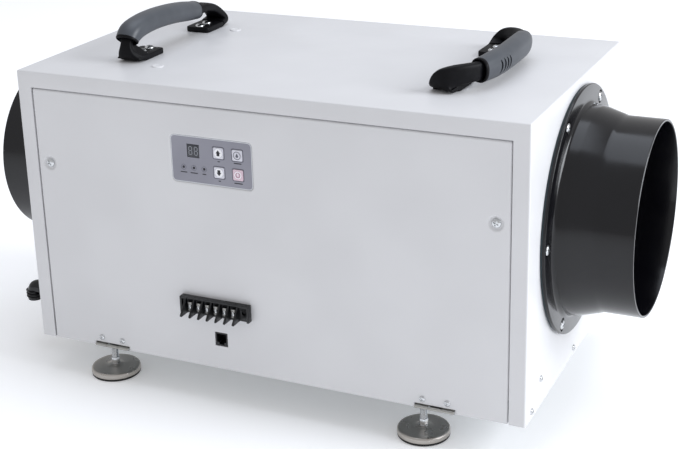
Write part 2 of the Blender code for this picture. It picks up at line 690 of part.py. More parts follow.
def build_duct(side, wall, sign):
    """One duct collar with its flange, cone and spigot, and the gasket behind its flange."""
    centre = (wall, 0, DUCT_Z)
    ring = [(DUCT_BASE_RADIUS, GAP), (DUCT_FLANGE_RADIUS - 1 * MM, GAP),
            (DUCT_FLANGE_RADIUS - 1 * MM, GASKET), (DUCT_BASE_RADIUS, GASKET)]
    shape = bmesh.new()
    add_lathe(shape, [(radius, sign * height) for radius, height in ring], centre, 0, DUCT_SEGMENTS, ring=True)
    place(f"duct_gasket_{side}", shape, "gasket_foam", centre)

    inner_base = DUCT_BASE_RADIUS - DUCT_WALL
    inner = DUCT_RADIUS - DUCT_WALL
    root = GASKET + GAP
    face = root + DUCT_FLANGE
    profile = [
        (inner_base, root), (DUCT_FLANGE_RADIUS, root), (DUCT_FLANGE_RADIUS, face - 0.8 * MM),
        (DUCT_FLANGE_RADIUS - 0.8 * MM, face), (DUCT_BASE_RADIUS + 4 * MM, face),
        (DUCT_BASE_RADIUS + 1 * MM, face + 3 * MM),
        (DUCT_BASE_RADIUS, DUCT_CONE_START), (DUCT_RADIUS, DUCT_CONE_END), (DUCT_RADIUS, DUCT_LENGTH),
        (inner, DUCT_LENGTH), (inner, DUCT_CONE_END),
        (inner_base, DUCT_CONE_START),
    ]
    shape = bmesh.new()
    add_lathe(shape, [(radius, sign * height) for radius, height in profile], centre, 0, DUCT_SEGMENTS, ring=True)
    place(f"duct_collar_{side}", shape, "black_abs", centre)


def arch_path(x, lean, outline, steps):
    """A handle's centre line from points of (distance along Y, height off the hinge line)."""
    rise = Vector((math.sin(lean), 0, math.cos(lean)))
    origin = Vector((x, 0, AXIS_Z))
    curve = spline([(along, height, 0) for along, height in outline], steps)
    return [origin + Vector((0, point.x, 0)) + rise * point.y for point in curve]


def build_handle(side, x, lean, outline, grip_start, grip_end):
    """One strap handle: two screwed-down roots, the bent strap between them and its grip sleeve.

    The sleeve covers the strap from outline point grip_start to grip_end.
    """
    for end, sign in (("front", -1), ("rear", 1)):
        outer = sign * (HANDLE_ROOT_OFFSET - GAP)
        inner = outer - sign * HANDLE_PLATE_LENGTH
        low_y, high_y = sorted((outer, inner))
        middle = (x, (low_y + high_y) / 2)
        floor = TOP + GAP
        shape = bmesh.new()
        plate = rounded_rectangle(middle, HANDLE_PLATE_WIDTH, HANDLE_PLATE_LENGTH, 6 * MM, steps=2)
        add_prism(shape, plate, 2, floor, TOP + HANDLE_PLATE)
        root = place(f"handle_root_{side}_{end}", shape, "black_rubber", (*middle, TOP))
        lug_low, lug_high = sorted((outer, outer - sign * HANDLE_LUG))
        lug = bmesh.new()
        side_on = rounded_rectangle((x, floor + HANDLE_LUG_HEIGHT / 2), HANDLE_LUG_WIDTH, HANDLE_LUG_HEIGHT,
                                    5 * MM, steps=2)
        add_prism(lug, side_on, 1, lug_low, lug_high)
        join(root, lug)

    steps = 3
    path = arch_path(x, lean, outline, steps)
    across = Vector((math.cos(lean), 0, -math.sin(lean)))
    axis = (x, 0, AXIS_Z)
    inner_width = GRIP_WIDTH - 2 * GRIP_WALL
    count = len(path)
    ease = [min(1.0, min(i, count - 1 - i) / 5) for i in range(count)]
    neck = STRAP_ROOT - 2 * MM
    widths = [neck + (inner_width - 2 * GAP - neck) * share for share in ease]
    heights = [neck + (STRAP_HEIGHT - neck) * share for share in ease]
    shape = bmesh.new()
    add_loft(shape, tube_loops(path, across, widths, heights, 12))
    strap = place(f"handle_strap_{side}", shape, "black_rubber", axis)
    eyes = bmesh.new()
    for sign in (-1, 1):
        low, high = sorted((sign * HANDLE_ROOT_OFFSET, sign * (HANDLE_ROOT_OFFSET + HANDLE_EYE)))
        add_cylinder(eyes, axis, 1, STRAP_ROOT / 2, low, high, segments=20)
    join(strap, eyes)

    sleeve = path[grip_start * steps:grip_end * steps + 1]
    outer_loops = tube_loops(sleeve, across, [GRIP_WIDTH] * len(sleeve), [GRIP_HEIGHT] * len(sleeve), 16)
    inner_loops = tube_loops(sleeve, across, [inner_width] * len(sleeve),
                             [GRIP_HEIGHT - 2 * GRIP_WALL] * len(sleeve), 16)
    shape = bmesh.new()
    add_loft(shape, outer_loops + inner_loops[::-1], ring=True)
    place(f"handle_grip_{side}", shape, "grip_grey", axis)


def build_handles():
    """The left handle stands upright over its roots, and the right one has fallen outwards."""
    end = HANDLE_ROOT_OFFSET + HANDLE_EYE / 2
    upright = [(-end, 0), (-end - 9 * MM, 4 * MM), (-end - 12 * MM, 11.5 * MM), (-end - 7.5 * MM, 19.5 * MM),
               (-end + 3 * MM, 25.5 * MM), (-end + 25 * MM, 28 * MM), (-end + 52 * MM, 28.5 * MM),
               (-8 * MM, 26.5 * MM), (17 * MM, 23.5 * MM), (end - 48 * MM, 19.5 * MM), (end - 27 * MM, 17.5 * MM),
               (end - 10 * MM, 17 * MM), (end + 5 * MM, 16 * MM), (end + 12 * MM, 10.5 * MM), (end + 9.5 * MM, 4 * MM),
               (end, 0)]
    build_handle("left", HANDLE_LEFT_X, 0, upright, 3, 9)
    fallen = [(-end - 4 * MM, 0), (-end - 8 * MM, 7 * MM), (-end - 6 * MM, 17 * MM), (-end + 5 * MM, 27 * MM),
              (-end + 21 * MM, 34 * MM), (-end + 51 * MM, 37.5 * MM), (-12 * MM, 39.5 * MM), (12 * MM, 39.5 * MM),
              (end - 53 * MM, 38 * MM), (end - 33 * MM, 34 * MM), (end - 16 * MM, 27 * MM), (end - 1 * MM, 18 * MM),
              (end + 6 * MM, 8 * MM), (end + 4 * MM, 0)]
    build_handle("right", HANDLE_RIGHT_X, math.radians(75), fallen, 4, 9)


def build_foot(name, x, y):
    """A levelling foot: threaded stem with a hexagon, pressed cap and rubber pad."""
    origin = (x, y, 0)
    shape = bmesh.new()
    add_cylinder(shape, origin, 2, FOOT_RADIUS - 1 * MM, 0, FOOT_PAD, segments=32)
    place(f"foot_pad_{name}", shape, "black_rubber", origin)
    low = FOOT_PAD + GAP
    profile = [(0, low), (FOOT_RADIUS - 0.5 * MM, low), (FOOT_RADIUS, low + 1 * MM),
               (FOOT_RADIUS, FOOT_CAP_TOP - 3.5 * MM), (FOOT_RADIUS - 1 * MM, FOOT_CAP_TOP - 1.2 * MM),
               (FOOT_RADIUS - 3 * MM, FOOT_CAP_TOP), (0, FOOT_CAP_TOP)]
    shape = bmesh.new()
    add_lathe(shape, profile, origin, 2, 32)
    place(f"foot_cap_{name}", shape, "satin_nickel", origin)
    hexagon_low = FOOT_CAP_TOP + GAP
    hexagon_high = hexagon_low + STEM_HEX_HEIGHT
    shape = bmesh.new()
    add_cylinder(shape, origin, 2, STEM_HEX / math.sqrt(3), hexagon_low, hexagon_high, segments=6)
    stem = place(f"foot_stem_{name}", shape, "stainless_steel", origin)
    join(stem, cylinder(origin, 2, STEM_RADIUS, hexagon_high - 2 * MM, BOTTOM + STEM_INSIDE, segments=20))


def build_drain():
    """The drain elbow through the left wall, with its flange nut outside."""
    origin = (LEFT, DRAIN_Y, DRAIN_Z)
    tail = EVAPORATOR_X - 2 * TRAY_WALL - LEFT
    shape = bmesh.new()
    profile = [(0, tail), (DRAIN_RADIUS, tail), (DRAIN_RADIUS, -GAP), (12 * MM, -GAP), (12 * MM, -6 * MM),
               (DRAIN_RADIUS + 1 * MM, -6 * MM), (DRAIN_RADIUS + 1 * MM, -DRAIN_REACH), (0, -DRAIN_REACH)]
    add_lathe(shape, profile, origin, 0, 20)
    elbow = place("drain_elbow", shape, "black_abs", origin)
    down = bmesh.new()
    drop = (LEFT - DRAIN_REACH, DRAIN_Y, DRAIN_Z)
    profile = [(0, 0.95 * DRAIN_BARB_RADIUS), (0.6 * DRAIN_BARB_RADIUS, 0.8 * DRAIN_BARB_RADIUS),
               (0.9 * DRAIN_BARB_RADIUS, 0.4 * DRAIN_BARB_RADIUS), (DRAIN_BARB_RADIUS, 0),
               (DRAIN_BARB_RADIUS, -10 * MM), (0.8 * DRAIN_BARB_RADIUS, -16 * MM), (0, -16 * MM)]
    add_lathe(down, profile, drop, 2, 20)
    join(elbow, down)


def build_gland():
    """The cable gland for the mains cord, on the left wall near the back."""
    origin = (LEFT, BACK - GLAND_INSET, DRAIN_Z)
    flange = GLAND_RADIUS + 4 * MM
    profile = [(3.5 * MM, 10 * MM), (GLAND_RADIUS, 10 * MM), (GLAND_RADIUS, -GAP), (flange, -GAP),
               (flange, -5 * MM), (GLAND_RADIUS + 1 * MM, -6 * MM), (GLAND_RADIUS + 1 * MM, -14 * MM),
               (GLAND_RADIUS - 2 * MM, -20 * MM), (3.5 * MM, -20 * MM)]
    shape = bmesh.new()
    add_lathe(shape, profile, origin, 0, 16, ring=True)
    place("cord_gland", shape, "black_abs", origin)


def build_air_path():
    """Filter, evaporator, condenser and the tray under them."""
    half = FILTER_SIZE / 2
    filter_low = Vector((FILTER_X, -half, DUCT_Z - half + 6 * MM))
    filter_high = Vector((FILTER_X + FILTER_THICKNESS, half, DUCT_Z + half + 6 * MM))
    frame = place("air_filter", boxes((filter_low, filter_high)), "filter_media", filter_low)
    rim = 12 * MM
    step = 3 * MM
    pockets = boxes(((filter_low.x - step, filter_low.y + rim, filter_low.z + rim),
                     (filter_low.x + step, filter_high.y - rim, filter_high.z - rim)),
                    ((filter_high.x - step, filter_low.y + rim, filter_low.z + rim),
                     (filter_high.x + step, filter_high.y - rim, filter_high.z - rim)))
    cut(frame, pockets)

    half = COIL_WIDTH / 2
    plate = 2 * MM
    for name, x, thickness in (("evaporator_coil", EVAPORATOR_X, EVAPORATOR_THICKNESS),
                               ("condenser_coil", CONDENSER_X, CONDENSER_THICKNESS)):
        low = Vector((x + plate, -half + plate / 2, COIL_BOTTOM + plate))
        high = Vector((x + thickness - plate, half - plate / 2, COIL_BOTTOM + COIL_HEIGHT - plate))
        coil = place(name, boxes((low, high)), "coil_aluminium", (x, 0, COIL_BOTTOM))
        join(coil, boxes(*(((x, y, COIL_BOTTOM), (x + thickness, y + plate, COIL_BOTTOM + COIL_HEIGHT))
                           for y in (-half, half - plate))))

    low = Vector((EVAPORATOR_X - 6 * MM, -half - 8 * MM, TRAY_FLOOR - TRAY_WALL))
    high = Vector((CONDENSER_X + CONDENSER_THICKNESS + 6 * MM, half + 8 * MM, TRAY_RIM))
    tray = place("drain_tray", boxes((low, high)), "tray_white", (low.x, 0, TRAY_BOTTOM))
    wall = Vector((TRAY_WALL, TRAY_WALL, TRAY_WALL))
    cut(tray, boxes((low + wall, high + Vector((-TRAY_WALL, -TRAY_WALL, TRAY_WALL)))))
    leg = 12 * MM
    join(tray, boxes(*(((x, y, TRAY_BOTTOM), (x + leg, y + leg, TRAY_FLOOR - TRAY_WALL / 2))
                       for x in (low.x + TRAY_WALL, high.x - leg - TRAY_WALL)
                       for y in (low.y + 40 * MM, high.y - leg - TRAY_WALL))))
    outlet = (low.x, DRAIN_Y, DRAIN_Z)
    cut(tray, cylinder(outlet, 0, DRAIN_RADIUS + GAP, -2 * TRAY_WALL, 2 * TRAY_WALL, segments=24))
    ledge = boxes(*(((low.x + TRAY_WALL / 2, y, TRAY_FLOOR - TRAY_WALL / 2), (high.x - TRAY_WALL / 2, y + 6 * MM, TRAY_RIM))
                    for y in (-100 * MM, -3 * MM, 94 * MM)))
    join(tray, ledge)


def pipe_ways():
    """Where the suction and discharge pipes pass the shroud, in Y and Z."""
    return ((BACK - 22 * MM, TOP - 48 * MM), (BACK - 22 * MM, TOP - 78 * MM))


def build_fan():
    """Shroud with its inlet ring, backward-curved impeller on the motor's shaft, motor and bracket."""
    top = TOP - SHEET - SHROUD_MARGIN
    half = CABINET_DEPTH / 2 - 3 * SHEET - SHROUD_MARGIN
    front = FRONT + DOOR_FLANGE + SHROUD_MARGIN
    shroud = place("fan_shroud", boxes(((SHROUD_X, front, PAN_FLOOR + GAP), (SHROUD_X + SHROUD_THICKNESS, half, top))),
                   "galvanised_steel", (SHROUD_X, 0, FAN_Z))
    ring = bmesh.new()
    lip = SHROUD_THICKNESS
    add_lathe(ring, [(FAN_INLET_RADIUS - lip, -1 * MM + lip), (FAN_INLET_RADIUS + 8 * MM, -1 * MM + lip),
                     (FAN_INLET_RADIUS + 8 * MM, lip / 2), (FAN_INLET_RADIUS, 2 * lip),
                     (FAN_INLET_RADIUS, 14 * MM), (FAN_INLET_RADIUS - lip, 14 * MM)],
              (SHROUD_X, 0, FAN_Z), 0, 40, ring=True)
    join(shroud, ring)
    holes = bmesh.new()
    add_cylinder(holes, (SHROUD_X, 0, FAN_Z), 0, FAN_INLET_RADIUS - lip, -20 * MM, 20 * MM, segments=40)
    for y, z in pipe_ways():
        add_cylinder(holes, (SHROUD_X, y, z), 0, PIPE_RADIUS + 3 * MM, -20 * MM, 20 * MM, segments=16)
    cut(shroud, holes)

    fan_x = SHROUD_X + 17 * MM
    plate = 3 * MM
    axis = (fan_x, 0, FAN_Z)
    back = fan_x + FAN_DEPTH
    shape = bmesh.new()
    hub = 20 * MM
    add_lathe(shape, [(0, FAN_DEPTH - 26 * MM), (hub - 3 * MM, FAN_DEPTH - 26 * MM), (hub, FAN_DEPTH - 22 * MM),
                      (hub, FAN_DEPTH - plate), (FAN_RADIUS, FAN_DEPTH - plate), (FAN_RADIUS, FAN_DEPTH),
                      (SHAFT_RADIUS, FAN_DEPTH), (SHAFT_RADIUS, FAN_DEPTH + 30 * MM), (0, FAN_DEPTH + 30 * MM)],
              axis, 0, 32)
    impeller = place("fan_impeller", shape, "fan_black", axis)
    eye = bmesh.new()
    inner = FAN_INLET_RADIUS + 2 * MM
    add_lathe(eye, [(inner, 0), (inner + plate, 0), (FAN_RADIUS, 9 * MM), (FAN_RADIUS, 9 * MM + plate),
                    (inner, plate)], axis, 0, 32, ring=True)
    join(impeller, eye)
    blades = bmesh.new()
    for blade in range(FAN_BLADES):
        start = 2 * math.pi * blade / FAN_BLADES
        rows = []
        for step in range(5):
            share = step / 4
            radius = 46 * MM + (FAN_RADIUS - 1 * MM - 46 * MM) * share
            angle = start - 0.75 * share
            tangent = Vector((0, -math.sin(angle), math.cos(angle))) * 1.1 * MM
            point = Vector((0, math.cos(angle), math.sin(angle))) * radius + Vector((fan_x, 0, FAN_Z))
            low = 2 * MM if radius > inner else 8 * MM
            low = 10 * MM if step == 4 else low
            rows.append([point + tangent + Vector((low, 0, 0)), point - tangent + Vector((low, 0, 0)),
                         point - tangent + Vector((FAN_DEPTH - plate / 2, 0, 0)),
                         point + tangent + Vector((FAN_DEPTH - plate / 2, 0, 0))])
        add_loft(blades, rows)
    join(impeller, blades)

    motor_x = back + 8 * MM
    bore = SHAFT_RADIUS + SHAFT_CLEARANCE
    depth = 30 * MM
    profile = [(0, depth), (bore, depth), (bore, 0), (14 * MM, 0), (14 * MM, 4 * MM),
               (MOTOR_RADIUS - 6 * MM, 6 * MM), (MOTOR_RADIUS, 12 * MM), (MOTOR_RADIUS, MOTOR_LENGTH - 8 * MM),
               (MOTOR_RADIUS - 6 * MM, MOTOR_LENGTH), (0, MOTOR_LENGTH)]
    shape = bmesh.new()
    add_lathe(shape, profile, (motor_x, 0, FAN_Z), 0, 28)
    place("fan_motor", shape, "motor_enamel", (motor_x, 0, FAN_Z))

    low_z = PAN_FLOOR + GAP
    high_z = FAN_Z - MOTOR_RADIUS - GAP
    middle = motor_x + MOTOR_LENGTH / 2
    bracket = place("motor_bracket", boxes(((middle - 25 * MM, -45 * MM, low_z), (middle + 25 * MM, 45 * MM, low_z + 2 * MM))),
                    "galvanised_steel", (middle, 0, low_z))
    join(bracket, boxes(((middle - 1.5 * MM, -32 * MM, low_z + 1 * MM), (middle + 1.5 * MM, 32 * MM, high_z - 1 * MM))))
    join(bracket, boxes(((middle - 16 * MM, -32 * MM, high_z - 2 * MM), (middle + 16 * MM, 32 * MM, high_z))))


def build_pipe(name, points):
    """A copper pipe along a smooth curve through the points."""
    path = spline(points, 3)
    shape = bmesh.new()
    size = [2 * PIPE_RADIUS] * len(path)
    add_loft(shape, tube_loops(path, Vector((0.31, 0.42, 0.85)), size, size, 8))
    place(name, shape, "copper_tube", points[0])


def build_compressor():
    """Rotary compressor on its three-legged plate, its accumulator and the two refrigerant pipes."""
    low = PAN_FLOOR + GAP
    centre = (COMPRESSOR_X, COMPRESSOR_Y, low + COMPRESSOR_FOOT)
    radius = COMPRESSOR_RADIUS
    height = COMPRESSOR_HEIGHT
    shape = bmesh.new()
    add_lathe(shape, [(0, 0), (0.75 * radius, 0), (0.96 * radius, 8 * MM), (radius, 20 * MM), (radius, height - 26 * MM),
                      (0.95 * radius, height - 12 * MM), (0.75 * radius, height - 3 * MM), (0, height)], centre, 2, 28)
    body = place("compressor", shape, "compressor_enamel", centre)
    plate = bmesh.new()
    reach = radius + 26 * MM
    corners = [(COMPRESSOR_X + reach * math.cos(angle), COMPRESSOR_Y + reach * math.sin(angle))
               for angle in (math.pi / 2 + turn * 2 * math.pi / 3 + side for turn in range(3) for side in (-0.2, 0.2))]
    add_prism(plate, corners, 2, centre[2] + 2 * MM, centre[2] + 5 * MM)
    join(body, plate)
    feet = bmesh.new()
    for turn in range(3):
        angle = math.pi / 2 + turn * 2 * math.pi / 3
        middle = (COMPRESSOR_X + (reach - 14 * MM) * math.cos(angle),
                  COMPRESSOR_Y + (reach - 14 * MM) * math.sin(angle), low)
        add_cylinder(feet, middle, 2, 9 * MM, 0, COMPRESSOR_FOOT + 3 * MM, segments=16)
    join(body, feet)

    tank_x = COMPRESSOR_X - radius - ACCUMULATOR_SPACE - ACCUMULATOR_RADIUS
    tank = (tank_x, COMPRESSOR_Y, low + 55 * MM)
    small = ACCUMULATOR_RADIUS
    shape = bmesh.new()
    add_lathe(shape, [(0, 0), (0.5 * small, 0), (0.9 * small, 6 * MM), (small, 14 * MM),
                      (small, ACCUMULATOR_HEIGHT - 14 * MM), (0.9 * small, ACCUMULATOR_HEIGHT - 6 * MM),
                      (0.5 * small, ACCUMULATOR_HEIGHT), (0, ACCUMULATOR_HEIGHT)], tank, 2, 20)
    accumulator = place("accumulator", shape, "compressor_enamel", tank)
    elbow = spline([(tank_x, COMPRESSOR_Y, tank[2] + 4 * MM), (tank_x, COMPRESSOR_Y, tank[2] - 10 * MM),
                    (tank_x + 12 * MM, COMPRESSOR_Y, tank[2] - 20 * MM),
                    (COMPRESSOR_X - radius - 2 * GAP, COMPRESSOR_Y, tank[2] - 20 * MM)], 4)
    shape = bmesh.new()
    size = [2 * PIPE_RADIUS] * len(elbow)
    add_loft(shape, tube_loops(elbow, Vector((0, 1, 0)), size, size, 10))
    join(accumulator, shape)

    (back_y, suction_z), (_, discharge_z) = pipe_ways()
    coil_y = COIL_WIDTH / 2 + 3 * GAP
    tank_top = tank[2] + ACCUMULATOR_HEIGHT + GAP
    evaporator_x = EVAPORATOR_X + EVAPORATOR_THICKNESS / 2
    condenser_x = CONDENSER_X + CONDENSER_THICKNESS / 2
    bend = 14 * MM
    build_pipe("suction_pipe", [
        (evaporator_x, coil_y, suction_z), (evaporator_x, coil_y + 4 * MM, suction_z),
        (evaporator_x + 3 * MM, back_y - 5 * MM, suction_z),
        (evaporator_x + bend + 4 * MM, back_y, suction_z), (SHROUD_X, back_y, suction_z),
        (tank_x - 60 * MM, back_y, suction_z), (tank_x - 8 * MM, back_y - 30 * MM, suction_z),
        (tank_x, COMPRESSOR_Y + 26 * MM, suction_z), (tank_x, COMPRESSOR_Y + 3 * MM, suction_z - 10 * MM),
        (tank_x, COMPRESSOR_Y, suction_z - 30 * MM), (tank_x, COMPRESSOR_Y, tank_top)])
    top_z = centre[2] + height + 2 * GAP
    build_pipe("discharge_pipe", [
        (COMPRESSOR_X, COMPRESSOR_Y, top_z), (COMPRESSOR_X, COMPRESSOR_Y + 1 * MM, top_z + 8 * MM),
        (COMPRESSOR_X, COMPRESSOR_Y + bend, top_z + 16 * MM), (COMPRESSOR_X - 4 * MM, back_y - 24 * MM, discharge_z + 2 * MM),
        (COMPRESSOR_X - 30 * MM, back_y, discharge_z), (SHROUD_X, back_y, discharge_z),
        (condenser_x + bend + 4 * MM, back_y, discharge_z), (condenser_x + 3 * MM, back_y - 5 * MM, discharge_z),
        (condenser_x, coil_y + 4 * MM, discharge_z), (condenser_x, coil_y, discharge_z)])


def main():
    for part in list(bpy.data.objects):
        bpy.data.objects.remove(part, do_unlink=True)
    build_shell()
    build_pan()
    build_rear_panel()
    build_door()
    for side, sign in (("left", -1), ("right", 1)):
        build_hinge(side, sign * HINGE_SPACING / 2)
        build_door_screw(side, sign * (CABINET_WIDTH / 2 - DOOR_SCREW_INSET))
        build_duct(side, sign * CABINET_WIDTH / 2, sign)
    build_controls()
    build_terminals()
    build_handles()
    for name, x, y in foot_places():
        build_foot(name, x, y)
    build_drain()
    build_gland()
    build_air_path()
    build_fan()
    build_compressor()


main()
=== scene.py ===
"""The looks of a ducted crawl-space dehumidifier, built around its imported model.

Sizes are in millimetres times MM, in the model's own frame: X along the air path, -Y the front, Z up.
"""

import math

import bmesh
import bpy
from mathutils import Matrix, Vector


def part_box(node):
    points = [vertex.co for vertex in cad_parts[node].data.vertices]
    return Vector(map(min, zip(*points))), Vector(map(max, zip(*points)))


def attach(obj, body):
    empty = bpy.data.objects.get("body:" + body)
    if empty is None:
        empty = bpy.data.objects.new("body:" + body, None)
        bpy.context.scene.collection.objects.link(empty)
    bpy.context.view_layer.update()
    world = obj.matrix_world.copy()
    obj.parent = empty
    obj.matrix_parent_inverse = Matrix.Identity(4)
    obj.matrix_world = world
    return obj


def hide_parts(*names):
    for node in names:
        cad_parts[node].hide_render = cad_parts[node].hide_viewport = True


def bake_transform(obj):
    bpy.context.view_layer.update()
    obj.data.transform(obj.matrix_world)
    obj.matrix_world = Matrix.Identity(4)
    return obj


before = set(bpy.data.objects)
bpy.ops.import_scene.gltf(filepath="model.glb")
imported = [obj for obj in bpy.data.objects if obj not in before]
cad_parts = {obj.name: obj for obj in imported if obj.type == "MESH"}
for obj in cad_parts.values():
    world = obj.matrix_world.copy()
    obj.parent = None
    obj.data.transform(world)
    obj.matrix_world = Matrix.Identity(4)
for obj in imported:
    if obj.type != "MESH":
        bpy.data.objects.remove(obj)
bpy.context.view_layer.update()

MM = 0.001
X, Y, Z = Vector((1, 0, 0)), Vector((0, 1, 0)), Vector((0, 0, 1))


# ---------------------------------------------------------------- node and material helpers

def hex_colour(code):
    """An sRGB hex colour as linear RGBA."""
    def linear(value):
        return value / 12.92 if value <= 0.04045 else ((value + 0.055) / 1.055) ** 2.4
    return tuple(linear(int(code[i:i + 2], 16) / 255) for i in (1, 3, 5)) + (1.0,)


def add_node(tree, kind, settings=None, inputs=None):
    """Add a node, set its properties, and set or link its inputs by socket name."""
    made = tree.nodes.new(kind)
    for name, value in (settings or {}).items():
        setattr(made, name, value)
    for name, value in (inputs or {}).items():
        if isinstance(value, bpy.types.NodeSocket):
            tree.links.new(value, made.inputs[name])
        else:
            made.inputs[name].default_value = value
    return made


def finish(name, colour, roughness, metallic=0.0, **sockets):
    """A Principled material with its constants set on the shader's own sockets."""
    material = bpy.data.materials.new(name)
    material.use_nodes = True
    shader = material.node_tree.nodes["Principled BSDF"]
    shader.inputs["Base Color"].default_value = hex_colour(colour)
    shader.inputs["Roughness"].default_value = roughness
    shader.inputs["Metallic"].default_value = metallic
    for socket, value in sockets.items():
        shader.inputs[socket.replace("_", " ")].default_value = value
    return material


def noise(material, size, detail=2.0, stretch=(1, 1, 1)):
    """Noise on Object coordinates whose features are about this many metres across."""
    tree = material.node_tree
    place = add_node(tree, "ShaderNodeTexCoord").outputs["Object"]
    scaled = add_node(tree, "ShaderNodeMapping", inputs={"Vector": place, "Scale": stretch})
    return add_node(tree, "ShaderNodeTexNoise",
                    inputs={"Vector": scaled.outputs["Vector"], "Scale": 1 / size,
                            "Detail": detail}).outputs["Fac"]


def tint(material, factor, low, high):
    """Vary the base colour between two hex colours."""
    tree = material.node_tree
    ramp = add_node(tree, "ShaderNodeValToRGB", inputs={"Fac": factor})
    ramp.color_ramp.elements[0].position = 0.35
    ramp.color_ramp.elements[1].position = 0.65
    ramp.color_ramp.elements[0].color = hex_colour(low)
    ramp.color_ramp.elements[1].color = hex_colour(high)
    tree.links.new(ramp.outputs["Color"], tree.nodes["Principled BSDF"].inputs["Base Color"])


def vary_roughness(material, factor, low, high):
    """Vary the roughness between two values."""
    tree = material.node_tree
    mapped = add_node(tree, "ShaderNodeMapRange",
                      inputs={"Value": factor, "From Min": 0.3, "From Max": 0.7, "To Min": low,
                              "To Max": high})
    tree.links.new(mapped.outputs["Result"], tree.nodes["Principled BSDF"].inputs["Roughness"])


def relief(material, height, depth, strength=1.0):
    """Raise the surface by a height pattern this many metres deep."""
    tree = material.node_tree
    bump = add_node(tree, "ShaderNodeBump",
                    inputs={"Height": height, "Distance": depth, "Strength": strength})
    tree.links.new(bump.outputs["Normal"], tree.nodes["Principled BSDF"].inputs["Normal"])


# ---------------------------------------------------------------- finishes

def powder_coated_steel():
    """Semi-gloss polyester powder coat: soft broad highlights broken by a faint orange peel."""
    material = finish("powder_coated_steel", "#D6D6D8", 0.38, IOR=1.5)
    tint(material, noise(material, 90 * MM, 1), "#D4D4D6", "#D8D8DA")
    vary_roughness(material, noise(material, 24 * MM), 0.33, 0.42)
    # Real orange peel is 1 to 2 mm across; 2.6 mm is as fine as shows.
    relief(material, noise(material, 2.6 * MM, 1), 0.02 * MM, 0.35)
    return material


def galvanised_sheet():
    """Hot-dip galvanised sheet: dull silver with pale spangles a few millimetres across."""
    material = finish("galvanised_sheet", "#A6ABAE", 0.42, 1.0)
    tree = material.node_tree
    place = add_node(tree, "ShaderNodeTexCoord").outputs["Object"]
    spangle = add_node(tree, "ShaderNodeTexVoronoi", inputs={"Vector": place, "Scale": 1 / (7 * MM)})
    grey = add_node(tree, "ShaderNodeRGBToBW", inputs={"Color": spangle.outputs["Color"]}).outputs["Val"]
    tint(material, grey, "#989EA2", "#B9BEC1")
    vary_roughness(material, grey, 0.34, 0.5)
    return material


def bright_steel():
    """Polished stainless steel, for screw heads and stems: near mirror, with fine turning marks."""
    material = finish("bright_stainless_steel", "#CFD1D3", 0.2, 1.0)
    vary_roughness(material, noise(material, 1.5 * MM), 0.14, 0.3)
    return material


def hinge_steel():
    """Rolled stainless hinge stock: brushed along its length."""
    material = finish("rolled_hinge_steel", "#A9A8A4", 0.36, 1.0)
    relief(material, noise(material, 0.8 * MM, 2, (0.05, 1, 1)), 0.01 * MM, 0.6)
    return material


def turned_nickel():
    """Satin nickel on a spun steel cap, with fine rings about its axis from the "spun" attribute."""
    material = finish("turned_satin_nickel", "#B9B4AE", 0.3, 1.0)
    tree = material.node_tree
    vary_roughness(material, noise(material, 14 * MM, 1), 0.27, 0.36)
    radius = add_node(tree, "ShaderNodeAttribute", {"attribute_name": "spun"}).outputs["Fac"]
    turns = add_node(tree, "ShaderNodeMath", {"operation": "MULTIPLY"},
                     {0: radius, 1: 2 * math.pi / (1.1 * MM)})
    rings = add_node(tree, "ShaderNodeMath", {"operation": "SINE"},
                     {0: turns.outputs["Value"]}).outputs["Value"]
    relief(material, rings, 0.004 * MM, 0.5)
    return material


def gloss_abs():
    """Injection-moulded black ABS: deep gloss, slightly wavy from the mould."""
    material = finish("gloss_black_abs", "#0A0A0E", 0.17, IOR=1.5, Specular_IOR_Level=0.42)
    vary_roughness(material, noise(material, 40 * MM), 0.12, 0.22)
    relief(material, noise(material, 22 * MM, 1), 0.06 * MM, 0.35)
    return material


def moulded_rubber():
    """Black moulded rubber: matt with a fine grain and a dusty sheen."""
    material = finish("moulded_black_rubber", "#09090B", 0.55, IOR=1.5, Specular_IOR_Level=0.4)
    tint(material, noise(material, 12 * MM, 3), "#070709", "#0D0D10")
    relief(material, noise(material, 0.9 * MM, 3), 0.05 * MM, 0.5)
    return material


def strap_rubber():
    """Extruded strap rubber: satin black with long flow lines."""
    material = finish("extruded_strap_rubber", "#060609", 0.5, IOR=1.5, Specular_IOR_Level=0.16)
    tint(material, noise(material, 9 * MM, 3), "#040407", "#0B0B0F")
    relief(material, noise(material, 1.4 * MM, 3, (1, 0.25, 1)), 0.09 * MM, 0.6)
    return material


def grip_plastic():
    """Spark-eroded grey polypropylene: satin, with a fine leathery grain."""
    material = finish("grained_grey_polypropylene", "#43474D", 0.4, IOR=1.49)
    tint(material, noise(material, 30 * MM, 2), "#3F4349", "#484C52")
    # The grain is about 0.3 mm on the real one; 0.9 mm is as fine as shows.
    relief(material, noise(material, 0.9 * MM, 2), 0.05 * MM, 0.5)
    return material


def overlay_film():
    """Polyester overlay printed grey behind a matt hard coat."""
    material = finish("printed_overlay_film", "#8B8B96", 0.42, IOR=1.57)
    tint(material, noise(material, 40 * MM, 1), "#888893", "#8F8F9A")
    relief(material, noise(material, 1.2 * MM, 1), 0.01 * MM, 0.3)
    return material


def keycap(name, low, high):
    """Silver-printed keycap with a fine metallic fleck."""
    material = finish(name, high, 0.38, IOR=1.5, Coat_Weight=0.3, Coat_Roughness=0.2)
    tint(material, noise(material, 0.9 * MM, 3), low, high)
    return material


def plain_plastic(name, colour, roughness, grain=1.0 * MM, depth=0.03 * MM):
    """A moulded plastic of one colour with a fine mould grain."""
    material = finish(name, colour, roughness, IOR=1.5)
    relief(material, noise(material, grain, 2), depth, 0.5)
    return material


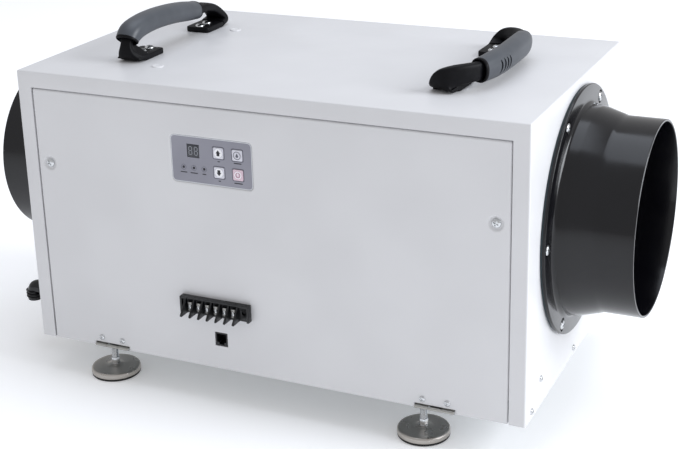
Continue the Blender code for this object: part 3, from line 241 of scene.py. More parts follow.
def ink(name, colour):
    """Screen-printed ink, slightly uneven in gloss."""
    material = finish(name, colour, 0.5)
    vary_roughness(material, noise(material, 2 * MM), 0.42, 0.6)
    return material


def display_window():
    """Smoked acrylic over an unlit two-digit display."""
    material = finish("smoked_display_window", "#33353B", 0.12, IOR=1.49)
    vary_roughness(material, noise(material, 5 * MM), 0.08, 0.16)
    return material


def solder_mask():
    """Green solder mask over copper tracks, drawn in colour only."""
    material = finish("green_solder_mask", "#1D5434", 0.35, IOR=1.52)
    tree = material.node_tree
    place = add_node(tree, "ShaderNodeTexCoord").outputs["Object"]
    tracks = add_node(tree, "ShaderNodeTexBrick",
                      inputs={"Vector": place, "Scale": 1 / (30 * MM), "Color1": hex_colour("#1B4F31"),
                              "Color2": hex_colour("#235F3C"), "Mortar": hex_colour("#2F7A4E")})
    tree.links.new(tracks.outputs["Color"], tree.nodes["Principled BSDF"].inputs["Base Color"])
    return material


def foam_gasket():
    """Closed-cell foam tape, squeezed under the flange: dull, with open pores at its cut edge."""
    material = finish("closed_cell_foam", "#3E4A4F", 0.85)
    relief(material, noise(material, 0.7 * MM, 2), 0.15 * MM, 0.8)
    return material


def fin_aluminium():
    """Thin aluminium fin stock with a blue-grey hydrophilic coat."""
    material = finish("coated_aluminium_fins", "#B4BEC6", 0.36, 1.0)
    vary_roughness(material, noise(material, 18 * MM), 0.28, 0.46)
    return material


def drawn_copper():
    """Drawn copper tube: warm metal with dull oxidised patches."""
    material = finish("drawn_copper", "#B8704F", 0.28, 1.0)
    tint(material, noise(material, 26 * MM, 4), "#8F5238", "#C4805E")
    vary_roughness(material, noise(material, 10 * MM), 0.2, 0.42)
    return material


def turned_brass():
    """Turned brass nut."""
    material = finish("turned_brass", "#B08D4C", 0.3, 1.0)
    vary_roughness(material, noise(material, 3 * MM), 0.22, 0.38)
    return material


def black_enamel(name, colour, roughness):
    """Sprayed enamel on a drawn steel shell: a coarse, soft peel."""
    material = finish(name, colour, roughness, IOR=1.5, Coat_Weight=0.25, Coat_Roughness=0.15)
    relief(material, noise(material, 3.5 * MM, 1), 0.06 * MM, 0.4)
    return material


def filter_felt():
    """Spun polyester filter felt: soft, white and fibrous."""
    material = finish("spun_polyester_felt", "#D9DDE0", 0.95)
    tint(material, noise(material, 3 * MM, 4), "#C9CED2", "#E4E7EA")
    relief(material, noise(material, 1.0 * MM, 4), 0.3 * MM, 0.8)
    return material


PAINT = powder_coated_steel()
GALVANISED = galvanised_sheet()
BRIGHT = bright_steel()
HINGE = hinge_steel()
NICKEL = turned_nickel()
ABS = gloss_abs()
RUBBER = moulded_rubber()
STRAP = strap_rubber()
GRIP = grip_plastic()
FILM = overlay_film()
# A pale edge colour: a painted highlight standing for the lit rim round the overlay.
FILM_EDGE_HIGHLIGHT = plain_plastic("overlay_edge_painted_highlight", "#D5D8DC", 0.45)
SILVER_KEY = keycap("silver_keycap", "#C4C4CE", "#E0E0E8")
ROSE_KEY = keycap("rose_keycap", "#CDB2BF", "#E5D0DA")
BLACK_INK = ink("black_ink", "#1B1B22")
GREY_INK = ink("grey_ink", "#5C5C68")
WHITE_INK = ink("white_ink", "#F2F2F6")
ROSE_INK = ink("rose_ink", "#A97F92")
WINDOW = display_window()
SEGMENT = plain_plastic("unlit_display_segment", "#85878E", 0.5)
LENS = plain_plastic("dark_light_pipe", "#22222A", 0.2)
PHENOLIC = plain_plastic("moulded_phenolic", "#08090C", 0.34, 1.1 * MM, 0.05 * MM)
SOCKET_BLACK = plain_plastic("glass_filled_nylon", "#0F1014", 0.42)
BOARD = solder_mask()
FOAM = foam_gasket()
FINS = fin_aluminium()
COPPER = drawn_copper()
BRASS = turned_brass()
COMPRESSOR_PAINT = black_enamel("black_compressor_enamel", "#101114", 0.32)
MOTOR_PAINT = black_enamel("grey_motor_enamel", "#34373B", 0.42)
FELT = filter_felt()
TRAY = plain_plastic("moulded_white_styrene", "#DFE2E4", 0.45)
FAN_PLASTIC = plain_plastic("glass_filled_fan_nylon", "#1F2124", 0.5)


# ---------------------------------------------------------------- shape helpers

def evaluated(shape, *steps):
    """A bmesh after modifiers, each given as its kind and its settings."""
    bmesh.ops.recalc_face_normals(shape, faces=shape.faces)
    mesh = bpy.data.meshes.new("work")
    shape.to_mesh(mesh)
    shape.free()
    work = bpy.data.objects.new("work", mesh)
    bpy.context.scene.collection.objects.link(work)
    for kind, settings in steps:
        modifier = work.modifiers.new(kind.lower(), kind)
        for name, value in settings.items():
            setattr(modifier, name, value)
    graph = bpy.context.evaluated_depsgraph_get()
    result = bpy.data.meshes.new_from_object(work.evaluated_get(graph))
    done = bmesh.new()
    done.from_mesh(result)
    bpy.data.objects.remove(work)
    bpy.data.meshes.remove(mesh)
    bpy.data.meshes.remove(result)
    return done


def rounded(shape, width, segments=3, angle=30):
    """Round every edge that is sharper than the angle."""
    return evaluated(shape, ("BEVEL", {"width": width, "segments": segments, "limit_method": "ANGLE",
                                       "angle_limit": math.radians(angle), "use_clamp_overlap": True}))


def boolean(shape, tool, operation):
    """The exact Boolean of two closed shapes."""
    bmesh.ops.recalc_face_normals(tool, faces=tool.faces)
    mesh = bpy.data.meshes.new("tool")
    tool.to_mesh(mesh)
    tool.free()
    helper = bpy.data.objects.new("tool", mesh)
    bpy.context.scene.collection.objects.link(helper)
    done = evaluated(shape, ("BOOLEAN", {"operation": operation, "solver": "EXACT", "object": helper}))
    bpy.data.objects.remove(helper)
    bpy.data.meshes.remove(mesh)
    return done


def carved(shape, tool):
    return boolean(shape, tool, "DIFFERENCE")


def absorb(shape, other):
    """Adds another shape's faces to this one and frees the other."""
    mesh = bpy.data.meshes.new("absorbed")
    other.to_mesh(mesh)
    other.free()
    shape.from_mesh(mesh)
    bpy.data.meshes.remove(mesh)


def add_box(shape, low, high):
    """Add an axis-aligned box between two corners."""
    low, high = Vector(low), Vector(high)
    made = bmesh.ops.create_cube(shape, size=1)
    bmesh.ops.scale(shape, vec=high - low, verts=made["verts"])
    bmesh.ops.translate(shape, vec=(high + low) / 2, verts=made["verts"])


def boxes(*corners):
    """A bmesh of boxes, each given as its low and high corner."""
    shape = bmesh.new()
    for low, high in corners:
        add_box(shape, low, high)
    return shape


def add_prism(shape, outline, axis, low, high):
    """Extrude an outline along an axis. Its points are in the other two axes, in X, Y, Z order."""
    def point(pair, height):
        values = list(pair)
        values.insert(axis, height)
        return shape.verts.new(values)
    ends = [[point(pair, height) for pair in outline] for height in (low, high)]
    faces = [shape.faces.new(end) for end in ends]
    count = len(outline)
    for i in range(count):
        j = (i + 1) % count
        faces.append(shape.faces.new((ends[0][i], ends[0][j], ends[1][j], ends[1][i])))
    return faces


def prism(outline, axis, low, high):
    shape = bmesh.new()
    add_prism(shape, outline, axis, low, high)
    return shape


def rounded_rectangle(centre, width, height, radius, steps=6):
    """The points of a rounded rectangle, each corner an arc."""
    points = []
    for corner in range(4):
        middle_x = centre[0] + (1 if corner in (0, 3) else -1) * (width / 2 - radius)
        middle_y = centre[1] + (1 if corner in (0, 1) else -1) * (height / 2 - radius)
        for step in range(steps + 1):
            angle = (corner + step / steps) * math.pi / 2
            points.append((middle_x + radius * math.cos(angle), middle_y + radius * math.sin(angle)))
    return points


def circle(centre, radius, steps=24):
    """The points of a circle."""
    return [(centre[0] + radius * math.cos(2 * math.pi * i / steps),
             centre[1] + radius * math.sin(2 * math.pi * i / steps)) for i in range(steps)]


def add_lathe(shape, profile, centre, axis, segments=48, ring=False, sign=1):
    """Turn a profile of (radius, height) about an axis. A ring's profile closes on itself."""
    across = [i for i in range(3) if i != axis]
    rows = []
    for radius, height in profile:
        row = []
        for step in range(segments if radius > 0 else 1):
            angle = 2 * math.pi * step / segments
            where = list(centre)
            where[axis] += sign * height
            where[across[0]] += radius * math.cos(angle)
            where[across[1]] += radius * math.sin(angle)
            row.append(shape.verts.new(where))
        rows.append(row)
    pairs = list(zip(rows, rows[1:])) + ([(rows[-1], rows[0])] if ring else [])
    for first, second in pairs:
        for step in range(segments):
            after = (step + 1) % segments
            corners = [first[step % len(first)], first[after % len(first)],
                       second[after % len(second)], second[step % len(second)]]
            corners = list(dict.fromkeys(corners))
            if len(corners) > 2:
                shape.faces.new(corners)


def lathe(profile, centre, axis, segments=48, ring=False, sign=1):
    shape = bmesh.new()
    add_lathe(shape, profile, centre, axis, segments, ring, sign)
    return shape


def add_rod(shape, centre, axis, radius, low, high, segments=24):
    """Add a cylinder between two heights along an axis, measured from its centre point."""
    add_lathe(shape, [(0, low), (radius, low), (radius, high), (0, high)], centre, axis, segments)


def arc(centre, radius, start, end, steps=5):
    """Profile points along an arc, with its angles in degrees."""
    angles = [math.radians(start + (end - start) * i / steps) for i in range(steps + 1)]
    return [(centre[0] + radius * math.cos(a), centre[1] + radius * math.sin(a)) for a in angles]


def add_loft(shape, loops, ring=False):
    """Skin loops of points. An open loft gets flat ends, and a ring joins its last loop to its first."""
    rows = [[shape.verts.new(point) for point in loop] for loop in loops]
    pairs = list(zip(rows, rows[1:]))
    if ring:
        pairs.append((rows[-1], rows[0]))
    else:
        shape.faces.new(rows[0])
        shape.faces.new(rows[-1])
    count = len(rows[0])
    for first, second in pairs:
        for i in range(count):
            j = (i + 1) % count
            shape.faces.new((first[i], first[j], second[j], second[i]))


def spline(points, steps):
    """A smooth curve through the points, with this many steps between each two."""
    points = [Vector(point) for point in points]
    ends = [2 * points[0] - points[1]] + points + [2 * points[-1] - points[-2]]
    curve = []
    for before, start, stop, after in zip(ends, ends[1:], ends[2:], ends[3:]):
        for step in range(steps):
            t = step / steps
            curve.append(0.5 * (2 * start + (stop - before) * t
                                + (2 * before - 5 * start + 4 * stop - after) * t ** 2
                                + (3 * start - before - 3 * stop + after) * t ** 3))
    return curve + [points[-1]]


def section_loops(path, sides, widths, heights, power=2.0, count=24):
    """Loops square to a path. A power of 2 is an oval, and a higher one is nearer a rectangle."""
    loops = []
    last = len(path) - 1
    for i, point in enumerate(path):
        tangent = (path[min(i + 1, last)] - path[max(i - 1, 0)]).normalized()
        side = sides[i] if isinstance(sides, list) else sides
        across = (side - tangent * side.dot(tangent)).normalized()
        up = tangent.cross(across)
        bend = power[i] if isinstance(power, list) else power
        loop = []
        for step in range(count):
            angle = 2 * math.pi * (step + 0.5) / count
            c, s = math.cos(angle), math.sin(angle)
            wide = math.copysign(abs(c) ** (2 / bend), c) * widths[i] / 2
            high = math.copysign(abs(s) ** (2 / bend), s) * heights[i] / 2
            loop.append(point + across * wide + up * high)
        loops.append(loop)
    return loops


def tube(points, radius, steps=6, count=16, side=Vector((0.31, 0.42, 0.85))):
    """A round tube along a smooth curve through the points."""
    path = spline(points, steps)
    shape = bmesh.new()
    size = [2 * radius] * len(path)
    add_loft(shape, section_loops(path, side, size, size, count=count))
    return shape


def piece(name, shape, materials, body, stands_for=(), sharp=32):
    """Finish a bmesh as a named piece that rides on a body and may stand for CAD nodes."""
    bmesh.ops.recalc_face_normals(shape, faces=shape.faces)
    mesh = bpy.data.meshes.new(name)
    shape.to_mesh(mesh)
    shape.free()
    made = bpy.data.objects.new(name, mesh)
    bpy.context.scene.collection.objects.link(made)
    for material in materials if isinstance(materials, (list, tuple)) else (materials,):
        mesh.materials.append(material)
    mesh.shade_smooth()
    mesh.set_sharp_from_angle(angle=math.radians(sharp))
    if body:
        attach(made, body)
    if stands_for:
        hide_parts(*([stands_for] if isinstance(stands_for, str) else stands_for))
    return made


def refinish(node, material):
    """Give a CAD node that stays a better material."""
    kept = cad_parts[node]
    kept.data.materials.clear()
    kept.data.materials.append(material)


# ---------------------------------------------------------------- Geometry Nodes for what repeats

def repeat_tree():
    """Put a master piece at every point, facing the point's direction and turned by its angle."""
    tree = bpy.data.node_groups.new("repeat_a_master", "GeometryNodeTree")
    for name, kind in (("Geometry", "NodeSocketGeometry"), ("Master", "NodeSocketObject"),
                       ("Size", "NodeSocketFloat"), ("Finish", "NodeSocketMaterial")):
        tree.interface.new_socket(name, in_out="INPUT", socket_type=kind)
    tree.interface.new_socket("Geometry", in_out="OUTPUT", socket_type="NodeSocketGeometry")
    start = add_node(tree, "NodeGroupInput").outputs
    facing = add_node(tree, "GeometryNodeInputNamedAttribute", {"data_type": "FLOAT_VECTOR"},
                      {"Name": "facing"})
    turn = add_node(tree, "GeometryNodeInputNamedAttribute", {"data_type": "FLOAT"}, {"Name": "turn"})
    aimed = add_node(tree, "FunctionNodeAlignRotationToVector", {"axis": "Z"},
                     {"Vector": facing.outputs["Attribute"]})
    spin = add_node(tree, "FunctionNodeAxisAngleToRotation", None,
                    {"Axis": (0, 0, 1), "Angle": turn.outputs["Attribute"]})
    turned = add_node(tree, "FunctionNodeRotateRotation", {"rotation_space": "LOCAL"},
                      {"Rotation": aimed.outputs["Rotation"], "Rotate By": spin.outputs["Rotation"]})
    master = add_node(tree, "GeometryNodeObjectInfo", None, {"Object": start["Master"]})
    copies = add_node(tree, "GeometryNodeInstanceOnPoints", None,
                      {"Points": start["Geometry"], "Instance": master.outputs["Geometry"],
                       "Rotation": turned.outputs["Rotation"], "Scale": start["Size"]})
    real = add_node(tree, "GeometryNodeRealizeInstances", None, {"Geometry": copies.outputs["Instances"]})
    painted = add_node(tree, "GeometryNodeSetMaterial", None,
                       {"Geometry": real.outputs["Geometry"], "Material": start["Finish"]})
    add_node(tree, "NodeGroupOutput", None, {"Geometry": painted.outputs["Geometry"]})
    return tree


def row_tree():
    """A row of equal boxes: a count, a first place, a step and a size."""
    tree = bpy.data.node_groups.new("row_of_plates", "GeometryNodeTree")
    for name, kind in (("Geometry", "NodeSocketGeometry"), ("Count", "NodeSocketInt"),
                       ("First", "NodeSocketVector"),
                       ("Step", "NodeSocketVector"), ("Plate", "NodeSocketVector"),
                       ("Finish", "NodeSocketMaterial")):
        tree.interface.new_socket(name, in_out="INPUT", socket_type=kind)
    tree.interface.new_socket("Geometry", in_out="OUTPUT", socket_type="NodeSocketGeometry")
    start = add_node(tree, "NodeGroupInput").outputs
    line = add_node(tree, "GeometryNodeMeshLine", {"mode": "OFFSET"},
                    {"Count": start["Count"], "Start Location": start["First"], "Offset": start["Step"]})
    plate = add_node(tree, "GeometryNodeMeshCube", None, {"Size": start["Plate"]})
    copies = add_node(tree, "GeometryNodeInstanceOnPoints", None,
                      {"Points": line.outputs["Mesh"], "Instance": plate.outputs["Mesh"]})
    real = add_node(tree, "GeometryNodeRealizeInstances", None, {"Geometry": copies.outputs["Instances"]})
    painted = add_node(tree, "GeometryNodeSetMaterial", None,
                       {"Geometry": real.outputs["Geometry"], "Material": start["Finish"]})
    add_node(tree, "NodeGroupOutput", None, {"Geometry": painted.outputs["Geometry"]})
    return tree


REPEAT = repeat_tree()
ROW = row_tree()


def grow(name, seed_mesh, tree, values, body, slot, sharp=32):
    """Run a Geometry Nodes tree on a seed mesh and keep its result as one plain mesh."""
    seed = bpy.data.objects.new("seed", seed_mesh)
    bpy.context.scene.collection.objects.link(seed)
    modifier = seed.modifiers.new("nodes", "NODES")
    modifier.node_group = tree
    sockets = {item.name: item.identifier for item in tree.interface.items_tree
               if item.item_type == "SOCKET" and item.in_out == "INPUT"}
    for key, value in values.items():
        modifier[sockets[key]] = value
    graph = bpy.context.evaluated_depsgraph_get()
    mesh = bpy.data.meshes.new_from_object(seed.evaluated_get(graph))
    mesh.name = name
    bpy.data.objects.remove(seed)
    bpy.data.meshes.remove(seed_mesh)
    made = bpy.data.objects.new(name, mesh)
    bpy.context.scene.collection.objects.link(made)
    mesh.shade_smooth()
    mesh.set_sharp_from_angle(angle=math.radians(sharp))
    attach(made, body)
    return made


def repeated(name, master, places, material, body, slot, size=1.0):
    """Copies of a master shape at (point, direction, turn) places, as one piece."""
    seed = bpy.data.meshes.new("places")
    seed.from_pydata([place[0] for place in places], [], [])
    facing = seed.attributes.new("facing", "FLOAT_VECTOR", "POINT")
    facing.data.foreach_set("vector", [value for place in places for value in place[1]])
    turn = seed.attributes.new("turn", "FLOAT", "POINT")
    turn.data.foreach_set("value", [place[2] for place in places])
    bmesh.ops.recalc_face_normals(master, faces=master.faces)
    mesh = bpy.data.meshes.new("master")
    master.to_mesh(mesh)
    master.free()
    original = bpy.data.objects.new("master", mesh)
    bpy.context.scene.collection.objects.link(original)
    made = grow(name, seed, REPEAT, {"Master": original, "Size": size, "Finish": material}, body, slot)
    bpy.data.objects.remove(original)
    bpy.data.meshes.remove(mesh)
    return made


def row(name, count, first, step, plate, material, body, slot):
    """A row of equal plates as one piece."""
    return grow(name, bpy.data.meshes.new("seed"), ROW,
                {"Count": count, "First": first, "Step": step, "Plate": plate, "Finish": material}, body,
                slot)


# ---------------------------------------------------------------- screws

def pan_head(radius, height, recess=True, segments=24):
    """A pan-head screw standing on Z = 0, with a cross recess."""
    profile = [(0, -1.2 * height), (0.45 * radius, -1.2 * height), (0.45 * radius, -0.1 * MM),
               (radius, -0.1 * MM),
               (radius, 0.3 * height)]
    profile += [(radius * math.cos(a), height * (0.3 + 0.7 * math.sin(a)))
                for a in (math.radians(d) for d in (20, 40, 60, 78))] + [(0, height)]
    shape = lathe(profile, (0, 0, 0), 2, segments)
    if not recess:
        return shape
    slot_half, reach, floor = 0.13 * radius, 0.58 * radius, 0.3 * height
    for wide, deep in ((slot_half, reach), (reach, slot_half)):
        shape = carved(shape, boxes(((-wide, -deep, floor), (wide, deep, 2 * height))))
    return shape


def screws(name, places, radius, height, material, body, slot):
    """Pan-head screws at (point, direction) places, each turned its own way."""
    turned = [(point, direction, 0.4 + 1.9 * index) for index, (point, direction) in enumerate(places)]
    return repeated(name, pan_head(radius, height), turned, material, body, slot)


# ---------------------------------------------------------------- camera, lights, floor

def look_matrix(azimuth, elevation, roll):
    """A camera's turn from its azimuth, elevation and roll in radians."""
    back = Vector((math.sin(azimuth) * math.cos(elevation), -math.cos(azimuth) * math.cos(elevation),
                   math.sin(elevation)))
    right = Z.cross(back).normalized()
    up = back.cross(right)
    turned_right = math.cos(roll) * right + math.sin(roll) * up
    turned_up = -math.sin(roll) * right + math.cos(roll) * up
    return Matrix((turned_right, turned_up, back)).transposed()


def make_camera():
    """The camera at the viewing angle: right of the front, a little above."""
    data = bpy.data.cameras.new("camera")
    data.sensor_width = 36
    data.lens = 73.3
    data.shift_x = -0.011
    data.shift_y = -0.075
    data.clip_start = 0.05
    camera = bpy.data.objects.new("camera", data)
    turn = look_matrix(math.radians(24.74), math.radians(19.16), math.radians(-1.36))
    camera.matrix_world = Matrix.Translation((0.6266, -1.3089, 0.7184)) @ turn.to_4x4()
    bpy.context.scene.collection.objects.link(camera)
    bpy.context.scene.camera = camera


def area_light(name, where, target, size, power, colour="#FFFFFF"):
    """A soft square light aimed at a point."""
    data = bpy.data.lights.new(name, "AREA")
    data.shape = "SQUARE"
    data.size = size
    data.energy = power
    data.color = hex_colour(colour)[:3]
    light = bpy.data.objects.new(name, data)
    light.location = where
    light.rotation_euler = (Vector(target) - Vector(where)).to_track_quat("-Z", "Y").to_euler()
    bpy.context.scene.collection.objects.link(light)


def make_studio():
    """A white floor, a white sky and two soft lights."""
    shape = bmesh.new()
    bmesh.ops.create_grid(shape, x_segments=1, y_segments=1, size=6)
    mesh = bpy.data.meshes.new("floor")
    shape.to_mesh(mesh)
    shape.free()
    floor = bpy.data.objects.new("floor", mesh)
    bpy.context.scene.collection.objects.link(floor)
    mesh.materials.append(finish("white_floor", "#F7F8FA", 0.9, Emission_Color=hex_colour("#FFFFFF"),
                                 Emission_Strength=0.22))
    world = bpy.data.worlds.new("white_sky")
    bpy.context.scene.world = world
    world.use_nodes = True
    sky = world.node_tree.nodes["Background"]
    sky.inputs["Color"].default_value = hex_colour("#FDFDFF")
    sky.inputs["Strength"].default_value = 0.6
    area_light("right_light", (3.0, 0.3, 1.6), (0.2, 0.1, 0.25), 1.8, 90, "#F6FAFF")
    area_light("top_light", (-0.2, 0.5, 2.7), (-0.1, 0.1, 0.3), 2.0, 23, "#EAF2FF")
    bpy.context.scene.view_settings.view_transform = "Standard"


# ---------------------------------------------------------------- sizes read from the frame

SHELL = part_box("cabinet_shell")
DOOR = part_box("front_door")
LEFT, FRONT, BOTTOM = SHELL[0]
RIGHT, BACK, TOP = SHELL[1]
SHEET = 1.5 * MM
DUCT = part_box("duct_collar_right")
DUCT_Z = (DUCT[0].z + DUCT[1].z) / 2
FLANGE_RADIUS = (DUCT[1].z - DUCT[0].z) / 2
DUCT_LENGTH = DUCT[1].x - RIGHT
FEET = [f"{side}_{end}" for side in ("left", "right") for end in ("front", "rear")]
FITTING_Z = 75 * MM
DUCT_BORE = 106.5 * MM
NECK_RADIUS = 109 * MM
SPIGOT_RADIUS = 101 * MM
FLANGE_SCREW_CIRCLE = 120.5 * MM
HINGE_OUT = 1.2 * MM
HINGE_RISE = 1.8 * MM
KNUCKLE_RADIUS = 1.8 * MM
LIGHT_PITCH = 12 * MM
CAPTION_HEIGHT = 1.0 * MM
PIPE_Y = BACK - 22 * MM
SUCTION_Z = TOP - 48 * MM
DISCHARGE_Z = TOP - 78 * MM


def middle(node):
    """The middle of a CAD node's box."""
    low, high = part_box(node)
    return (low + high) / 2


# ---------------------------------------------------------------- cabinet

def bent_box(low, high, radius, segments=4, edges=None):
    """A box whose chosen edges are bent to a radius. Edges are picked by a test on their midpoint."""
    shape = boxes((low, high))
    chosen = [edge for edge in shape.edges
              if edges is None or edges((edge.verts[0].co + edge.verts[1].co) / 2)]
    bmesh.ops.bevel(shape, geom=chosen, offset=radius, segments=segments, profile=0.5, affect="EDGES")
    return shape


def make_wrap():
    """The folded steel wrap with its front and rear frames, duct bores and door tabs."""
    shape = bent_box((LEFT, FRONT, BOTTOM), (RIGHT, BACK, TOP), 2.0 * MM, 5, lambda p: p.z > BOTTOM + MM)
    below = BOTTOM - 10 * MM
    shape = carved(shape, boxes(((LEFT + SHEET, FRONT + SHEET, below),
                                 (RIGHT - SHEET, BACK - SHEET, TOP - SHEET))))
    gap = 1.0 * MM
    openings = boxes(((DOOR[0].x - gap, FRONT - SHEET, below),
                      (DOOR[1].x + gap, FRONT + 2 * SHEET, DOOR[1].z + gap)),
                     ((LEFT + 14 * MM, BACK - 2 * SHEET, below),
                      (RIGHT - 14 * MM, BACK + SHEET, TOP - 14 * MM)))
    shape = carved(shape, openings)
    bores = bmesh.new()
    for wall in (LEFT, RIGHT):
        add_rod(bores, (wall, 0, DUCT_Z), 0, DUCT_BORE, -5 * MM, 5 * MM, 96)
    for node in ("drain_elbow", "cord_gland"):
        y = middle(node).y
        add_rod(bores, (LEFT, y, FITTING_Z), 0, 8.3 * MM, -5 * MM, 5 * MM, 32)
    shape = carved(shape, bores)
    # Returns folded inwards behind the front frame, seen when the door is open.
    fold = bmesh.new()
    for x in (DOOR[0].x - gap - SHEET, DOOR[1].x + gap):
        add_box(fold, (x, FRONT + 0.4 * MM, BOTTOM + 0.5 * MM), (x + SHEET, FRONT + 11 * MM, DOOR[1].z + gap))
    add_box(fold, (DOOR[0].x - gap, FRONT + 0.4 * MM, DOOR[1].z + gap),
            (DOOR[1].x + gap, FRONT + 11 * MM, DOOR[1].z + gap + SHEET))
    tab_low = FRONT + 14 * MM
    for sign in (-1, 1):
        x = sorted((sign * 282 * MM, sign * 239.5 * MM))
        add_box(fold, (x[0], tab_low, 239 * MM), (x[1], tab_low + SHEET, 261 * MM))
    wrap = boolean(shape, fold, "UNION")
    piece("cabinet_wrap", wrap, PAINT, "cabinet", "cabinet_shell", sharp=14)


def make_rear():
    """The flat rear panel with a shallow pressed border."""
    low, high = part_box("rear_panel")
    shape = boxes((low, high))
    border = 26 * MM
    recess = prism(rounded_rectangle(((low.x + high.x) / 2, (low.z + high.z) / 2),
                                     high.x - low.x - 2 * border,
                                     high.z - low.z - 2 * border, 8 * MM), 1, high.y - 0.5 * MM, high.y + MM)
    piece("rear_sheet", carved(shape, recess), PAINT, "cabinet", "rear_panel", sharp=14)
    z_rows = (BOTTOM + 30 * MM, DUCT_Z, TOP - 21 * MM)
    places = [((sign * 262 * MM, high.y, z), Y) for sign in (-1, 1) for z in z_rows]
    places += [((x, high.y, z), Y) for x in (-88 * MM, 88 * MM) for z in (BOTTOM + 12 * MM, TOP - 21 * MM)]
    screws("rear_screws", places, 3.6 * MM, 2.0 * MM, BRIGHT, "cabinet", "stainless_steel")


def make_wall_screws():
    """Small screws low on both end walls, and the two white plugs in the top."""
    places = [((sign * RIGHT, y, z), sign * X) for sign in (-1, 1)
              for y, z in ((-145 * MM, 50 * MM), (-116 * MM, 72 * MM), (6 * MM, 50 * MM), (145 * MM, 50 * MM))
              if sign > 0 or z < 60 * MM]
    screws("wall_screws", places, 3.3 * MM, 1.9 * MM, BRIGHT, "cabinet", "stainless_steel")
    plug = lathe([(0, -1 * MM), (6.4 * MM, -1 * MM), (6.4 * MM, 0.4 * MM), (5.9 * MM, 0.9 * MM),
                  (4.8 * MM, 1.1 * MM),
                  (4.4 * MM, 0.8 * MM), (0, 0.7 * MM)], (0, 0, 0), 2, 32)
    places = [((-147 * MM, -102 * MM, TOP), Z, 0), ((-149 * MM, 73 * MM, TOP), Z, 0)]
    repeated("top_plugs", plug, places, PAINT, "cabinet", "powder_coat_white")


# ---------------------------------------------------------------- door

DOOR_SCREWS = [(middle("door_screw_left").x, middle("door_screw_left").z),
               (middle("door_screw_right").x, middle("door_screw_right").z)]
PANEL_CENTRE = (-51.3 * MM, BOTTOM + 232.3 * MM)
PANEL_WIDTH, PANEL_HEIGHT, PANEL_CORNER = 94 * MM, 50.5 * MM, 5 * MM


def make_door():
    """The door: bent edges, side and top returns, panel cut-out, screw dimples and hinge notches."""
    low, high = DOOR
    shape = bent_box(low, high, 2.4 * MM, 6,
                     lambda p: p.z > low.z + MM and (p.y < low.y + MM or abs(p.x) > high.x - MM))
    shape = carved(shape, boxes(((low.x + SHEET, low.y + SHEET, low.z - SHEET),
                                 (high.x - SHEET, high.y + SHEET, high.z - SHEET))))
    shape = carved(shape, boxes(((low.x - SHEET, low.y + SHEET, low.z - SHEET),
                                 (high.x + SHEET, high.y + SHEET, BOTTOM + 25.6 * MM))))
    openings = bmesh.new()
    for side in ("left", "right"):
        leaf_low, leaf_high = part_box(f"hinge_base_leaf_{side}")
        add_box(openings, (leaf_low.x - 0.5 * MM, low.y - SHEET, low.z - SHEET),
                (leaf_high.x + 0.5 * MM, low.y + 2 * SHEET, leaf_high.z + 0.5 * MM))
    socket_low, socket_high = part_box("data_socket")
    add_box(openings, (socket_low.x - 0.3 * MM, low.y - SHEET, socket_low.z - 0.3 * MM),
            (socket_high.x + 0.3 * MM, low.y + 2 * SHEET, socket_high.z + 0.3 * MM))
    # The panel's opening has a rolled lip, so its cutter narrows from the face inwards.
    lip = 2.0 * MM
    loops = []
    for y, grow in [(low.y - SHEET, lip)] + [(low.y + 1.2 * MM * (1 - math.cos(a)), lip * (1 - math.sin(a)))
                                             for a in (math.radians(15 * i)
                                                       for i in range(7))] + [(low.y + 2 * SHEET, 0)]:
        outline = rounded_rectangle(PANEL_CENTRE, PANEL_WIDTH + 2 * grow, PANEL_HEIGHT + 2 * grow,
                                    PANEL_CORNER + grow)
        loops.append([Vector((x, y, z)) for x, z in outline])
    mouth = bmesh.new()
    add_loft(mouth, loops)
    shape = carved(carved(shape, openings), mouth)
    cups = bmesh.new()
    for x, z in DOOR_SCREWS:
        add_lathe(cups, [(0, SHEET - 0.3 * MM), (9.8 * MM, SHEET - 0.3 * MM), (9.8 * MM, 2.0 * MM),
                         (8.6 * MM, 2.7 * MM),
                         (0, 2.7 * MM)], (x, low.y, z), 1, 40)
    shape = boolean(shape, cups, "UNION")
    dimples = bmesh.new()
    for x, z in DOOR_SCREWS:
        add_lathe(dimples, [(0, -MM), (8.8 * MM, -MM), (8.8 * MM, 0), (8.1 * MM, 0.15 * MM),
                            (7.4 * MM, 0.6 * MM),
                            (6.4 * MM, 1.5 * MM), (5.8 * MM, 1.75 * MM), (2.4 * MM, 1.8 * MM),
                            (2.4 * MM, 4 * MM),
                            (0, 4 * MM)], (x, low.y, z), 1, 48)
    piece("door_skin", carved(shape, dimples), PAINT, "door", "front_door", sharp=14)
    hem = bmesh.new()
    for start, end in ((low.x, -211.5 * MM), (-167.5 * MM, 167.5 * MM), (211.5 * MM, high.x)):
        add_box(hem, (start + 0.4 * MM, low.y + SHEET, low.z + 0.1 * MM),
                (end - 0.4 * MM, low.y + 2.6 * MM, low.z + 9 * MM))
    piece("door_hem", rounded(hem, 0.4 * MM, 2), PAINT, "door")


def make_door_screws():
    """The two large screws that hold the door shut, each in a dimple."""
    for side, (x, z) in zip(("left", "right"), DOOR_SCREWS):
        _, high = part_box(f"door_screw_{side}")
        shape = pan_head(4.8 * MM, 2.6 * MM, segments=32)
        add_rod(shape, (0, 0, 0), 2, 2.0 * MM, FRONT - high.y + 2 * MM, 0, 20)
        turn = Matrix.Rotation(math.radians(90), 4, "X") @ Matrix.Rotation(0.5 if x < 0 else 1.2, 4, "Z")
        bmesh.ops.transform(shape, matrix=Matrix.Translation((x, FRONT + 1.7 * MM, z)) @ turn,
                            verts=shape.verts)
        piece(f"door_bolt_{side}", shape, BRIGHT, "door", f"door_screw_{side}")


